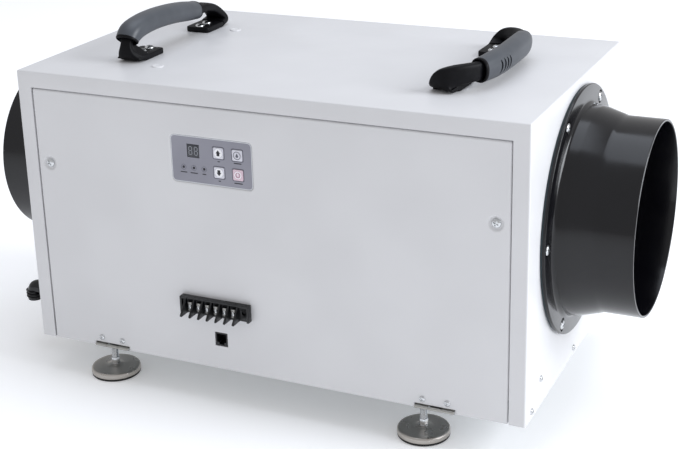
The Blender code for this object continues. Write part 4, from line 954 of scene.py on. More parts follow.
def make_hinges():
    """Butt hinges: rolled knuckles, leaves, pins with round ends and two screws on the door's face."""
    axis_y, axis_z = FRONT - HINGE_OUT, BOTTOM + HINGE_RISE
    for side in ("left", "right"):
        low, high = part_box(f"hinge_base_leaf_{side}")
        x = (low.x + high.x) / 2
        third = (high.x - low.x) / 6

        def knuckle(shape, start, end):
            add_lathe(shape, [(1.2 * MM, start), (1.55 * MM, start), (KNUCKLE_RADIUS, start + 0.3 * MM),
                              (KNUCKLE_RADIUS, end - 0.3 * MM), (1.55 * MM, end), (1.2 * MM, end)],
                      (x, axis_y, axis_z), 0, 32, ring=True)
        shape = bmesh.new()
        knuckle(shape, -third + 0.15 * MM, third - 0.15 * MM)
        under = axis_z - KNUCKLE_RADIUS
        add_box(shape, (x - third, axis_y, under), (x + third, FRONT + 7 * MM, under + 0.9 * MM))
        add_box(shape, (low.x, FRONT + 3.6 * MM, under), (high.x, FRONT + 15 * MM, under + 0.9 * MM))
        piece(f"hinge_leaf_below_{side}", shape, HINGE, "cabinet",
              f"hinge_base_leaf_{side}")
        door_low, door_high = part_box(f"hinge_door_leaf_{side}")
        shape = bmesh.new()
        top = axis_z + KNUCKLE_RADIUS
        for start, end in ((-3 * third, -third - 0.15 * MM), (third + 0.15 * MM, 3 * third)):
            knuckle(shape, start, end)
            add_box(shape, (x + start, axis_y, top - 0.9 * MM), (x + end, FRONT + 2.4 * MM, top))
        plate = boxes(((door_low.x, FRONT + 1.8 * MM, top - 0.9 * MM),
                       (door_high.x, FRONT + 2.9 * MM, door_high.z)))
        plate = rounded(plate, 0.3 * MM, 2)
        absorb(shape, plate)
        piece(f"hinge_leaf_behind_{side}", shape, HINGE, "door", f"hinge_door_leaf_{side}")
        half = 3 * third
        pin = lathe([(0, -half - 0.05 * MM), (0.8 * MM, -half), (1.1 * MM, -half + 0.4 * MM),
                     (1.1 * MM, half - 0.4 * MM),
                     (0.8 * MM, half), (0, half + 0.05 * MM)], (x, axis_y, axis_z), 0, 20)
        piece(f"hinge_rod_{side}", pin, BRIGHT, "cabinet", f"hinge_pin_{side}")
    places = [((middle(f"hinge_base_leaf_{side}").x + sign * 13.2 * MM, FRONT, 52.5 * MM), -Y)
              for side in ("left", "right") for sign in (-1, 1)]
    screws("hinge_screws", places, 3.3 * MM, 1.9 * MM, BRIGHT, "door", "stainless_steel")


# ---------------------------------------------------------------- control panel

def flat_mark(shape, outline, face, rise=0.12 * MM, index=1):
    """A printed mark standing a hair off a face that looks to -Y."""
    for made in add_prism(shape, outline, 1, face - rise, face + 0.3 * MM):
        made.material_index = index


def bar(centre, width, height):
    """A bar's outline round a centre."""
    return [(centre[0] + sx * width / 2, centre[1] + sz * height / 2) for sx,
            sz in ((-1, -1), (1, -1), (1, 1), (-1, 1))]


def ring_mark(shape, centre, outer, inner, face, index, rise=0.12 * MM, steps=28):
    """A printed ring."""
    before = set(shape.faces)
    add_lathe(shape, [(inner, face - rise), (outer, face - rise), (outer, face + 0.3 * MM),
                      (inner, face + 0.3 * MM)],
              (centre[0], 0, centre[1]), 1, steps, ring=True)
    for made in set(shape.faces) - before:
        made.material_index = index


def button_centres():
    return {name: middle(f"button_{name}") for name in ("up", "down", "drain", "power")}


def make_panel():
    """The overlay set just behind the door's face, with its windows, printed keylines, a pale painted
    highlight round its edge and small marks.
    """
    low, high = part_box("control_bezel")
    face = FRONT + 0.9 * MM
    centre = PANEL_CENTRE
    shape = prism(rounded_rectangle(centre, PANEL_WIDTH - 0.3 * MM, PANEL_HEIGHT - 0.3 * MM, PANEL_CORNER), 1,
                  face, FRONT + 1.75 * MM)
    shape = boolean(shape, boxes(((low.x, FRONT + 1.7 * MM, low.z), (high.x, high.y, high.z))), "UNION")
    shape = carved(shape, boxes(((low.x + 2 * MM, FRONT + 2.8 * MM, low.z + 2 * MM),
                                 (high.x - 2 * MM, high.y + MM, high.z - 2 * MM))))
    windows = bmesh.new()
    for where in button_centres().values():
        add_prism(windows, rounded_rectangle((where.x, where.z), 12.1 * MM, 12.1 * MM, 1.2 * MM, 3), 1,
                  face - MM, FRONT + 4 * MM)
    shown = middle("display_module")
    add_prism(windows, bar((shown.x, shown.z), 14.4 * MM, 14.4 * MM), 1, face - MM, FRONT + 4 * MM)
    lights = middle("indicator_lights")
    for step in (-1, 0, 1):
        add_rod(windows, (lights.x + step * LIGHT_PITCH, face, lights.z), 1, 1.5 * MM, -MM, 3 * MM, 24)
    shape = carved(shape, windows)
    piece("control_overlay", shape, FILM, "door", "control_bezel", sharp=20)

    # A pale band follows the overlay's edge as a painted highlight of its lit rim, and dark keylines ring the
    # keys, which sit in the print.
    # The print's materials are 0 for the painted highlight on the edge, 1 for grey ink and 2 for black ink.
    marks = bmesh.new()
    def outline_band(outline_centre, width, height, radius, thick, index):
        outer = rounded_rectangle(outline_centre, width, height, radius, 6)
        inner = rounded_rectangle(outline_centre, width - 2 * thick, height - 2 * thick,
                                  max(radius - thick, 0.2 * MM), 6)
        loops = [[Vector((x, y, z)) for x, z in outline]
                 for outline, y in ((outer, face - 0.06 * MM), (inner, face - 0.06 * MM),
                                    (inner, face + 0.2 * MM),
                                    (outer, face + 0.2 * MM))]
        before = set(marks.faces)
        add_loft(marks, loops, ring=True)
        for made in set(marks.faces) - before:
            made.material_index = index
    # The pale band round the overlay's edge is a painted highlight.
    outline_band(centre, PANEL_WIDTH - 0.5 * MM, PANEL_HEIGHT - 0.5 * MM, PANEL_CORNER, 0.8 * MM, 0)
    for name, where in button_centres().items():
        outline_band((where.x, where.z), 13.7 * MM, 13.7 * MM, 1.8 * MM, 0.7 * MM, 1)
    for step in (-1, 0, 1):
        ring_mark(marks, (lights.x + step * LIGHT_PITCH, lights.z), 3.0 * MM, 2.7 * MM, face, 1)
        width = (7.5 * MM, 8.2 * MM, 4.2 * MM)[step + 1]
        flat_mark(marks, bar((lights.x + step * LIGHT_PITCH, lights.z - 5.4 * MM), width, CAPTION_HEIGHT),
                  face,
                  index=2)
    centres = button_centres()
    for name in ("up", "down"):
        flat_mark(marks, bar((centres[name].x, centres[name].z - 9.0 * MM), 2.6 * MM, 0.9 * MM), face,
                  index=2)
    where = centres["drain"]
    flat_mark(marks, bar((where.x, where.z - 8.6 * MM), 8.6 * MM, CAPTION_HEIGHT), face, index=2)
    where = centres["power"]
    flat_mark(marks, bar((where.x, where.z - 9.0 * MM), 9.4 * MM, CAPTION_HEIGHT), face, index=2)
    piece("overlay_print", marks, [FILM_EDGE_HIGHLIGHT, GREY_INK, BLACK_INK], "door")


def key_symbol(shape, name, where, face):
    """The mark on a key: a pale disc with an arrow, a drop in a ring, or a power ring."""
    x, z = where.x, where.z
    if name in ("up", "down"):
        flat_mark(shape, circle((x, z), 4.6 * MM, 28), face, 0.06 * MM, 1)
        way = 1 if name == "up" else -1
        arrow = [(x - 2.7 * MM, z - way * 0.1 * MM), (x + 2.7 * MM, z - way * 0.1 * MM),
                 (x, z + way * 3.3 * MM)]
        flat_mark(shape, arrow, face, 0.14 * MM, 2)
        flat_mark(shape, bar((x, z - way * 1.5 * MM), 3.2 * MM, 2.8 * MM), face, 0.14 * MM, 2)
    elif name == "drain":
        ring_mark(shape, (x, z), 4.2 * MM, 3.6 * MM, face, 3)
        drop = [(x, z + 2.5 * MM)] + [(x + 1.5 * MM * math.cos(a), z - 0.7 * MM + 1.5 * MM * math.sin(a))
                                      for a in (math.radians(d) for d in range(20, -201, -20))]
        flat_mark(shape, drop, face, 0.12 * MM, 3)
    else:
        ring_mark(shape, (x, z), 3.9 * MM, 3.1 * MM, face, 1)
        ring_mark(shape, (x, z), 2.6 * MM, 2.0 * MM, face, 3)
        flat_mark(shape, bar((x, z + 0.8 * MM), 0.8 * MM, 3.0 * MM), face, 0.16 * MM, 1)


def make_buttons():
    """Four soft-cornered keys, each with its stem, travelling on its own body."""
    for name, where in button_centres().items():
        low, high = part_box(f"button_{name}")
        material = ROSE_KEY if name == "power" else SILVER_KEY
        mark = ROSE_INK if name == "power" else GREY_INK
        shape = prism(rounded_rectangle((where.x, where.z), high.x - low.x, high.z - low.z, 1.4 * MM, 4), 1,
                      low.y, FRONT + 2.6 * MM)
        shape = rounded(shape, 0.45 * MM, 3, 40)
        add_rod(shape, (where.x, FRONT, where.z), 1, 2 * MM, 2 * MM, high.y - FRONT, 16)
        key_symbol(shape, name, where, low.y)
        piece(f"key_{name}", shape, [material, WHITE_INK, BLACK_INK, mark], f"button_{name}",
              f"button_{name}")


def make_display():
    """A smoked window over two unlit seven-segment digits, and the three indicator lenses."""
    low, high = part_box("display_module")
    face = low.y
    shape = rounded(boxes((low, high)), 0.25 * MM, 2)
    for sign in (-1, 1):
        x, z = (low.x + high.x) / 2 + sign * 3.2 * MM, (low.z + high.z) / 2
        wide, tall, thick = 3.4 * MM, 4.2 * MM, 0.9 * MM
        for step in (-1, 0, 1):
            flat_mark(shape, bar((x, z + step * tall), wide - 0.7 * MM, thick), face, 0.05 * MM)
        for side in (-1, 1):
            for step in (-0.5, 0.5):
                flat_mark(shape, bar((x + side * wide / 2, z + step * tall), thick, tall - 0.9 * MM), face,
                          0.05 * MM)
    piece("display_window", shape, [WINDOW, SEGMENT], "door", "display_module")
    low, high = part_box("indicator_lights")
    shape = boxes(((low.x, FRONT + 3 * MM, low.z), (high.x, high.y, high.z)))
    for step in (-1, 0, 1):
        lens = [(0, 3.4 * MM), (1.3 * MM, 3.4 * MM), (1.3 * MM, 0.95 * MM), (0.9 * MM, 0.75 * MM),
                (0, 0.7 * MM)]
        add_lathe(shape, lens, ((low.x + high.x) / 2 + step * LIGHT_PITCH, FRONT, (low.z + high.z) / 2), 1,
                  20)
    piece("indicator_lenses", shape, LENS, "door", "indicator_lights")


def make_board():
    """The board behind the panel with its chips, capacitors and a ribbon header."""
    low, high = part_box("control_board")
    shape = rounded(boxes((low, high)), 0.2 * MM, 1)
    piece("control_circuit", shape, BOARD, "door", "control_board")
    parts = bmesh.new()
    back = high.y
    x, z = (low.x + high.x) / 2, (low.z + high.z) / 2
    for dx, dz, w, h, t in ((-18, 4, 14, 14, 2.0), (8, 8, 10, 6, 1.8), (10, -7, 18, 5, 2.0),
                            (30, 3, 5, 22, 2.2)):
        add_box(parts, (x + (dx - w / 2) * MM, back - 0.1 * MM, z + (dz - h / 2) * MM),
                (x + (dx + w / 2) * MM, back + t * MM, z + (dz + h / 2) * MM))
    for dx, dz in ((-33, -10), (-25, -12), (22, 12)):
        add_rod(parts, (x + dx * MM, back, z + dz * MM), 1, 2.6 * MM, -0.1 * MM, 2.2 * MM, 16)
    piece("board_parts", rounded(parts, 0.25 * MM, 1, 50), SOCKET_BLACK, "door")


# ---------------------------------------------------------------- terminal strip and data socket

TERMINAL_PITCH = 10.3 * MM
POLES = 6


def make_terminals():
    """The barrier strip: a rimmed moulding, seven sloped barriers, and a clamp and screw at each pole."""
    low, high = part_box("terminal_block")
    back = high.y
    base = 7 * MM
    shape = boxes(((low.x, back - base, low.z), (high.x, back, high.z)))
    first = high.x - 12.5 * MM - POLES * TERMINAL_PITCH
    pockets = bmesh.new()
    rim = 2.4 * MM
    floor = back - base + 3.2 * MM
    for start, end in ((low.x + rim, first - MM), (first + POLES * TERMINAL_PITCH + MM, high.x - rim)):
        add_box(pockets, (start, back - 2 * base, low.z - MM), (end, floor, high.z - rim))
    for pole in range(POLES):
        x = first + pole * TERMINAL_PITCH
        add_box(pockets, (x + MM, back - 2 * base, low.z - MM),
                (x + TERMINAL_PITCH - MM, back - base + 2.2 * MM, high.z - 1.6 * MM))
    shape = carved(shape, pockets)
    holes = bmesh.new()
    for start, end in ((low.x + rim, first - MM), (first + POLES * TERMINAL_PITCH + MM, high.x - rim)):
        radius = min(2.3 * MM, (end - start) / 2 - 0.3 * MM)
        add_rod(holes, ((start + end) / 2, back, (low.z + high.z) / 2), 1, radius, -2 * base, -0.8 * MM, 24)
    shape = rounded(carved(shape, holes), 0.3 * MM, 2, 50)
    for pole in range(POLES + 1):
        x = first + pole * TERMINAL_PITCH
        outline = [(back - 2 * MM, low.z + 0.1 * MM), (low.y + 0.8 * MM, low.z + 0.1 * MM),
                   (low.y, low.z + 0.9 * MM),
                   (low.y, low.z + 1.7 * MM), (low.y + 0.6 * MM, low.z + 2.7 * MM),
                   (back - base - 0.8 * MM, high.z - 2.2 * MM),
                   (back - base + MM, high.z - 0.8 * MM), (back - 2 * MM, high.z - 0.8 * MM)]
        fin = rounded(prism(outline, 0, x - 0.95 * MM, x + 0.95 * MM), 0.25 * MM, 2, 50)
        absorb(shape, fin)
    piece("terminal_moulding", shape, PHENOLIC, "door", "terminal_block", sharp=30)

    clamp = bmesh.new()
    half, thick = 2.7 * MM, 0.8 * MM
    plate = [(-half, 0), (-half, 1.4 * MM), (-half + 0.7 * MM, 2.1 * MM), (half - 0.7 * MM, 2.1 * MM),
             (half, 1.4 * MM), (half, 0),
             (half - thick, 0), (half - thick, 1.3 * MM), (-half + thick, 1.3 * MM), (-half + thick, 0)]
    add_prism(clamp, plate, 1, -4.6 * MM, 4.6 * MM)
    seat = back - base + 1.6 * MM
    z = (low.z + high.z) / 2 - 0.6 * MM
    places = [(Vector((first + (pole + 0.5) * TERMINAL_PITCH, seat, z)), -Y, math.pi)
              for pole in range(POLES)]
    repeated("terminal_clamps", rounded(clamp, 0.15 * MM, 1, 50), places, HINGE, "door", "stainless_steel")
    heads = [(place[0] - 2.0 * MM * Y, -Y) for place in places]
    screws("terminal_screws", heads, 2.4 * MM, 1.7 * MM, BRIGHT, "door", "stainless_steel")


def make_socket():
    """The modular data socket: a deep mouth with a latch step and eight spring contacts."""
    low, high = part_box("data_socket")
    x = (low.x + high.x) / 2
    wall = 1.6 * MM
    shape = rounded(boxes((low, high)), 0.3 * MM, 2)
    shape = carved(shape, boxes(((low.x + wall, low.y - MM, low.z + 4 * MM),
                                 (high.x - wall, high.y - 2 * MM, high.z - wall))))
    shape = carved(shape, boxes(((x - 3 * MM, low.y - MM, low.z + wall),
                                 (x + 3 * MM, high.y - 2 * MM, low.z + 5 * MM))))
    piece("data_jack", shape, SOCKET_BLACK, "door", "data_socket", sharp=25)
    row("data_contacts", 8, (x - 3.55 * MM, low.y + 7 * MM, high.z - wall - 1.0 * MM), (1.014 * MM, 0, 0),
        (0.4 * MM, 9 * MM, 0.5 * MM), BRASS, "door", "stainless_steel")


# ---------------------------------------------------------------- duct collars

def make_duct(side, wall, sign):
    """A collar turned as one moulding: flange, swept neck, cone, spigot and rolled lip."""
    base, top = NECK_RADIUS, SPIGOT_RADIUS
    thick = 2.5 * MM
    back, front = 2.3 * MM, 5.3 * MM
    length = DUCT_LENGTH
    profile = [(base - thick, back), (FLANGE_RADIUS, back)]
    profile += arc((FLANGE_RADIUS - 1.0 * MM, front - 1.0 * MM), 1.0 * MM, 0, 90, 4)
    profile += arc((base + 5 * MM, front + 5 * MM), 5 * MM, 270, 190, 7)
    profile += [(base - 0.3 * MM, 17 * MM), (base - 1.0 * MM, 19.5 * MM), (top + 1.1 * MM, 40 * MM),
                (top + 0.25 * MM, 42.5 * MM), (top, 45 * MM), (top, length - 1.2 * MM)]
    profile += arc((top - 0.9 * MM, length - 0.9 * MM), 0.9 * MM, 0, 90, 3)
    profile += arc((top - thick + 0.7 * MM, length - 0.7 * MM), 0.7 * MM, 90, 180, 3)
    profile += [(top - thick, 45 * MM), (top - thick + 0.3 * MM, 41 * MM), (base - thick, 19 * MM)]
    centre = (wall, 0, DUCT_Z)
    shape = lathe(profile, centre, 0, 144, ring=True, sign=sign)
    angles = [math.radians(60 * i) for i in range(6)]
    sites = [Vector((wall, FLANGE_SCREW_CIRCLE * math.cos(a), DUCT_Z + FLANGE_SCREW_CIRCLE * math.sin(a)))
             for a in angles]
    sinks = bmesh.new()
    for site in sites:
        add_lathe(sinks, [(0, front - 1.6 * MM), (6.8 * MM, front - 1.6 * MM), (7.4 * MM, front + MM),
                          (0, front + MM)],
                  site, 0, 32, sign=sign)
    piece(f"duct_moulding_{side}", carved(shape, sinks), ABS, "cabinet", f"duct_collar_{side}",
          sharp=28)
    heads = [(site + sign * (front - 1.6 * MM) * X, sign * X) for site in sites]
    screws(f"flange_screws_{side}", heads, 5.3 * MM, 3.4 * MM, BRIGHT, "cabinet", "stainless_steel")
    ring = lathe([(base, 0.2 * MM), (FLANGE_RADIUS - 1.2 * MM, 0.2 * MM),
                  (FLANGE_RADIUS - 0.7 * MM, 1.1 * MM),
                  (FLANGE_RADIUS - 1.2 * MM, 2.1 * MM), (base, 2.1 * MM)], centre, 0, 144, ring=True,
                  sign=sign)
    piece(f"duct_seal_{side}", ring, FOAM, "cabinet", f"duct_gasket_{side}")


# ---------------------------------------------------------------- handles

# Widths and heights of a handle's plates, sleeve and rubber rims.
ROOT = 88 * MM
PLATE_WIDTH = 30 * MM
PLATE_SCREWS = (55 * MM, 71 * MM)
SLEEVE_OUTER, SLEEVE_INNER = (26.8 * MM, 22.4 * MM), (23.6 * MM, 18.8 * MM)
RIM_OUTER, RIM_INNER = (25.0 * MM, 20.9 * MM), (22.2 * MM, 17.4 * MM)
GRIP_SLOTS = 4


def make_roots(side, x):
    """The two moulded strap ends of a handle, each a thick plate held by two screws."""
    heads = []
    for end, sign in (("front", -1), ("rear", 1)):
        outer, inner = sign * (ROOT - 0.3 * MM), sign * (ROOT - 40.3 * MM)
        outline = rounded_rectangle((x, (outer + inner) / 2), PLATE_WIDTH, abs(outer - inner), 4.5 * MM, 5)
        shape = rounded(prism(outline, 2, TOP + 0.1 * MM, TOP + 6 * MM), 1.1 * MM, 3, 50)
        piece(f"handle_plate_{side}_{end}", shape, STRAP, "cabinet",
              f"handle_root_{side}_{end}")
        heads += [((x, sign * y, TOP + 5.9 * MM), Z) for y in PLATE_SCREWS]
    screws(f"handle_screws_{side}", heads, 5.2 * MM, 3.0 * MM, BRIGHT, "cabinet", "stainless_steel")


def mixed(first, second, share):
    """A point part of the way between two."""
    return Vector(first).lerp(Vector(second), share)


def ramp(value, low, high):
    """0 below low, 1 above high and smooth between."""
    t = min(1.0, max(0.0, (value - low) / (high - low)))
    return t * t * (3 - 2 * t)


def place_along(path, share):
    """The point and direction this far along a path."""
    where = share * (len(path) - 1)
    index = min(int(where), len(path) - 2)
    return path[index].lerp(path[index + 1], where - index), (path[index + 1] - path[index]).normalized()


def hollow(path, across, outer, inner, outer_scale, inner_scale):
    """A hollow sleeve along a path, from its outer and inner width and height and their scales."""
    rings = [section_loops(path, across, [size[0] * s for s in scale], [size[1] * s for s in scale], 2.3, 40)
             for size, scale in ((outer, outer_scale), (inner, inner_scale))]
    shape = bmesh.new()
    add_loft(shape, rings[0] + rings[1][::-1], ring=True)
    return shape


def make_handle(side, x, lean, outline, grip_start, grip_end, slots_from, face, web, waist, bend, steps=6):
    """A strap through its points (along, out, up), with a hollow grip sleeve between two of them.

    The two points of bend are not used: the strap keeps one shape between its fixed plates and the moving
    grip. A web fills the corner over the front plate, and waist is how much narrower the strap is at the
    sleeve's mouth.
    """
    path = spline([(x + out * MM, along * MM, TOP + up * MM) for along, out, up in outline], steps)
    across = Vector((math.cos(lean), 0, -math.sin(lean)))
    count = len(path)
    ease = [ramp(min(i, count - 1 - i), 0, 3.4 * steps) for i in range(count)]
    sides = [mixed(X, across, share) for share in ease]
    # The strap narrows to a waist where it leaves the front of the sleeve.
    dip = [waist * math.exp(-((i / steps - grip_start + 0.2) / 1.1) ** 2) for i in range(count)]
    widths = [(30 - 9.5 * share - narrow) * MM for share, narrow in zip(ease, dip)]
    heights = [(6.5 + 4 * share - 0.35 * narrow) * MM for share, narrow in zip(ease, dip)]
    power = [6 - 2.5 * share for share in ease]
    shape = bmesh.new()
    add_loft(shape, section_loops(path, sides, widths, heights, power, 40))
    if web:
        loops = [[Vector((x + px * MM, along * MM, TOP + up * MM))
                  for px, along in rounded_rectangle((0, middle_y), width, length, 2.5, 4)]
                 for middle_y, up, width, length in web]
        add_loft(shape, loops)
    bmesh.ops.recalc_face_normals(shape, faces=shape.faces)
    strap = piece(f"strap_{side}", shape, STRAP, None, f"handle_strap_{side}", sharp=50)
    start, end = (Vector((x + out * MM, 0, TOP + up * MM)) for out, up in bend)
    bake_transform(strap)
    sleeve = path[grip_start * steps:grip_end * steps + 1]
    last = len(sleeve) - 1
    swell = [1 - 0.07 * (1 - ramp(min(i, last - i), 0, 6)) for i in range(last + 1)]
    shape = hollow(sleeve, across, SLEEVE_OUTER, SLEEVE_INNER, swell, swell)
    slots = bmesh.new()
    for index in range(GRIP_SLOTS):
        spot, along = place_along(sleeve, slots_from + 0.045 * index)
        wide = (across - along * along.dot(across)).normalized()
        out = face * along.cross(wide)
        cutter = []
        for step in range(11):
            t = (step - 5) / 5
            centre = spot + wide * 7.2 * MM * t + along * 2.4 * MM * (1 - t * t)
            half = 1.8 * MM * math.sqrt(max(0.06, 1 - t * t))
            cutter.append([centre + out * depth * MM + along * offset * half
                           for depth, offset in ((8.4, -1), (8.4, 1), (15, 1), (15, -1))])
        add_loft(slots, cutter)
    piece(f"grip_{side}", carved(shape, slots), GRIP, f"handle_{side}", f"handle_grip_{side}",
          sharp=40)
    for tag, end, inward in (("front", sleeve[0], sleeve[1]), ("rear", sleeve[-1], sleeve[-2])):
        direction = (end - inward).normalized()
        stations = [end + direction * d * MM for d in (-2.0, 0.5, 1.3)]
        scale = (1.0, 1.0, 0.94)
        shape = hollow(stations, across, RIM_OUTER, RIM_INNER, scale, (1.0, 1.0, 1.0))
        piece(f"grip_rim_{side}_{tag}", shape, STRAP, f"handle_{side}", sharp=40)


def make_handles():
    """The left handle stands over its plates, and the right one has fallen outwards."""
    left, right = middle("handle_root_left_front").x, middle("handle_root_right_front").x
    make_roots("left", left)
    make_roots("right", right)
    upright = [(-84, 0, 3.8), (-91, 0, 4.4), (-96.5, 0, 8), (-99.5, 0, 14.5), (-97, 0, 24.5), (-87, 0, 31.8),
               (-66, 0, 35.2),
               (-39, 0, 35.8), (-8, 0, 34), (17, 0, 31), (43, 0, 27.5), (62, 0, 27), (79, 0, 22.5),
               (91, 0, 14.5),
               (96.5, 0, 7), (86, 0, 3.8)]
    web = [(-86, 3.5, 29, 24), (-86.5, 6, 26, 22), (-89.5, 12, 18, 15), (-92.5, 18, 11, 9), (-93.5, 22, 8, 6)]
    make_handle("left", left, 0, upright, 4, 10, 0.62, 1, web, 8, ((0, 5), (0, 24)))
    fallen = [(-84, 0, 3.8), (-94, -1, 6.5), (-97, 2, 13), (-91, 11, 17), (-81, 21, 18), (-69, 28, 18.3),
              (-40, 33.5, 18.7),
              (-12, 35.5, 19), (12, 35.5, 19), (38, 34.5, 18.6), (58, 31.5, 17.6), (76, 22, 16.5),
              (88, 11, 14.5),
              (95, 3, 10.5), (95, 0, 6), (86, 0, 3.8)]
    make_handle("right", right, math.radians(95), fallen, 5, 10, 0.16, -1, None, 1.5, ((2, 6), (24, 14)))


# ---------------------------------------------------------------- feet

def add_thread(shape, centre, low, high, radius, pitch, depth, segments=24):
    """A rod with a helical thread between two heights."""
    rows = []
    steps = round((high - low) / pitch * 4)
    for ring in range(steps + 1):
        z = low + (high - low) * ring / steps
        row = []
        for step in range(segments):
            angle = 2 * math.pi * step / segments
            wave = abs(((z / pitch - step / segments) % 1) - 0.5) * 2
            r = radius - depth * wave
            row.append(shape.verts.new((centre[0] + r * math.cos(angle), centre[1] + r * math.sin(angle), z)))
        rows.append(row)
    shape.faces.new(rows[0])
    shape.faces.new(rows[-1])
    for first, second in zip(rows, rows[1:]):
        for i in range(segments):
            j = (i + 1) % segments
            shape.faces.new((first[i], first[j], second[j], second[i]))


STEM_RADIUS = 3.9 * MM
STEM_PITCH = 1.25 * MM
STEM_HEX_HALF = 4.4 * MM
STEM_HEX_HEIGHT = 8 * MM


def make_foot(name):
    """A levelling foot: rubber pad, spun cap with a rounded rim, hexagon and threaded stem."""
    low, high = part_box(f"foot_cap_{name}")
    x, y = (low.x + high.x) / 2, (low.y + high.y) / 2
    centre = (x, y, 0)
    radius = (high.x - low.x) / 2
    pad = [(0, 0), (radius - 3.0 * MM, 0), (radius - 2.4 * MM, 0.6 * MM), (radius - 0.7 * MM, 0.6 * MM),
           (radius - 0.3 * MM, 1.1 * MM), (radius - 0.4 * MM, 2.8 * MM), (0, 2.8 * MM)]
    piece(f"foot_sole_{name}", lathe(pad, centre, 2, 64), RUBBER, f"foot_{name}",
          f"foot_pad_{name}")
    top = high.z
    cap = [(0, low.z), (radius - 1.6 * MM, low.z)]
    cap += arc((radius - 1.0 * MM, low.z + 1.0 * MM), 1.0 * MM, -90, 0, 3)
    cap += [(radius, top - 4.6 * MM)]
    cap += arc((radius - 2.6 * MM, top - 3.9 * MM), 2.6 * MM, 0, 80, 6)
    cap += [(radius - 4.2 * MM, top - 1.25 * MM), (radius - 6.5 * MM, top - 1.1 * MM),
            (radius - 9 * MM, top - 1.0 * MM),
            (11 * MM, top - 0.8 * MM), (8.6 * MM, top - 0.5 * MM), (7.6 * MM, top), (0, top)]
    disc = piece(f"foot_disc_{name}", lathe(cap, centre, 2, 96), NICKEL, f"foot_{name}",
                 f"foot_cap_{name}", sharp=40)
    spun = disc.data.attributes.new("spun", "FLOAT", "POINT")
    spun.data.foreach_set("value",
                          [math.hypot(vertex.co.x - x, vertex.co.y - y) for vertex in disc.data.vertices])
    stem_low, stem_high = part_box(f"foot_stem_{name}")
    hexagon = circle((x, y), STEM_HEX_HALF / math.cos(math.pi / 6), 6)
    nut_top = stem_low.z + STEM_HEX_HEIGHT
    shape = rounded(prism(hexagon, 2, stem_low.z, nut_top), 0.5 * MM, 2, 50)
    collar = [(0, stem_low.z), (4.95 * MM, stem_low.z), (4.95 * MM, stem_low.z + 0.9 * MM),
              (0, stem_low.z + 1.0 * MM)]
    add_lathe(shape, collar, centre, 2, 32)
    add_thread(shape, centre, nut_top - MM, stem_high.z, STEM_RADIUS, STEM_PITCH, 0.45 * MM)
    piece(f"foot_screw_{name}", shape, BRIGHT, f"stem_{name}", f"foot_stem_{name}",
          sharp=40)


# ---------------------------------------------------------------- fittings on the left wall

def make_drain():
    """The drain elbow: tail, hexagon flange, swept bend and barbed end, with a brass ferrule."""
    low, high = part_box("drain_elbow")
    y, z = (low.y + high.y) / 2, FITTING_Z
    out = low.x + 10 * MM
    drop = low.z
    shape = bmesh.new()
    path = spline([(high.x, y, z), (LEFT, y, z), (LEFT - 24 * MM, y, z), (out + 5 * MM, y, z - 0.6 * MM),
                   (out + 0.8 * MM, y, z - 4.5 * MM),
                   (out, y, drop + 5 * MM), (out, y, drop)], 6)
    size = [14 * MM if point.x > LEFT - 1 * MM else 16.5 * MM for point in path]
    add_loft(shape, section_loops(path, Y, size, size, count=32))
    add_lathe(shape, [(0, 0.2 * MM), (12 * MM, 0.2 * MM), (12 * MM, 2.4 * MM), (11.4 * MM, 3 * MM),
                      (0, 3 * MM)], (LEFT, y, z), 0, 40,
              sign=-1)
    for index in range(3):
        base = drop + (1.5 + 3.6 * index) * MM
        add_lathe(shape, [(7 * MM, 0), (9.8 * MM, 2.6 * MM), (9.8 * MM, 3.0 * MM), (7 * MM, 3.2 * MM)],
                  (out, y, base), 2, 32, ring=True)
    piece("drain_spout", shape, ABS, "cabinet", "drain_elbow", sharp=35)
    nut = rounded(prism(circle((y, z), 11.2 * MM, 6), 0, LEFT - 9.5 * MM, LEFT - 3 * MM), 0.5 * MM, 2, 50)
    piece("drain_nut", nut, BRASS, "cabinet")


def make_gland():
    """The cord gland: hexagon body, ribbed dome nut and an open bore."""
    low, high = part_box("cord_gland")
    y, z = (low.y + high.y) / 2, (low.z + high.z) / 2
    centre = (LEFT, y, z)
    dome = [(3.4 * MM, 5 * MM), (9.6 * MM, 5 * MM), (9.6 * MM, 13 * MM)]
    dome += arc((5.6 * MM, 13 * MM), 4.0 * MM, 0, 80, 6) + [(5.0 * MM, 19.9 * MM), (3.4 * MM, 19.9 * MM)]
    shape = lathe(dome, centre, 0, 48, ring=True, sign=-1)
    add_lathe(shape, [(3.4 * MM, -10 * MM), (7.9 * MM, -10 * MM), (7.9 * MM, 1 * MM), (3.4 * MM, 1 * MM)],
              centre, 0, 32,
              ring=True, sign=-1)
    hexagon = prism(circle((y, z), 11.8 * MM, 6), 0, LEFT - 5.2 * MM, LEFT - 0.3 * MM)
    hexagon = carved(rounded(hexagon, 0.5 * MM, 2, 50),
                     lathe([(0, -MM), (3.4 * MM, -MM), (3.4 * MM, 9 * MM), (0, 9 * MM)], centre, 0, 32,
                           sign=-1))
    absorb(shape, hexagon)
    piece("cord_bushing", shape, PHENOLIC, "cabinet", "cord_gland", sharp=35)
    ribs = [((LEFT - 9 * MM, y + 9.7 * MM * math.cos(a), z + 9.7 * MM * math.sin(a)),
             (0, math.cos(a), math.sin(a)), 0)
            for a in (2 * math.pi * i / 14 for i in range(14))]
    repeated("bushing_ribs", boxes(((-3.4 * MM, -0.5 * MM, -0.4 * MM), (3.4 * MM, 0.5 * MM, 0.6 * MM))), ribs,
             PHENOLIC,
             "cabinet", "black_abs")


# ---------------------------------------------------------------- what is inside

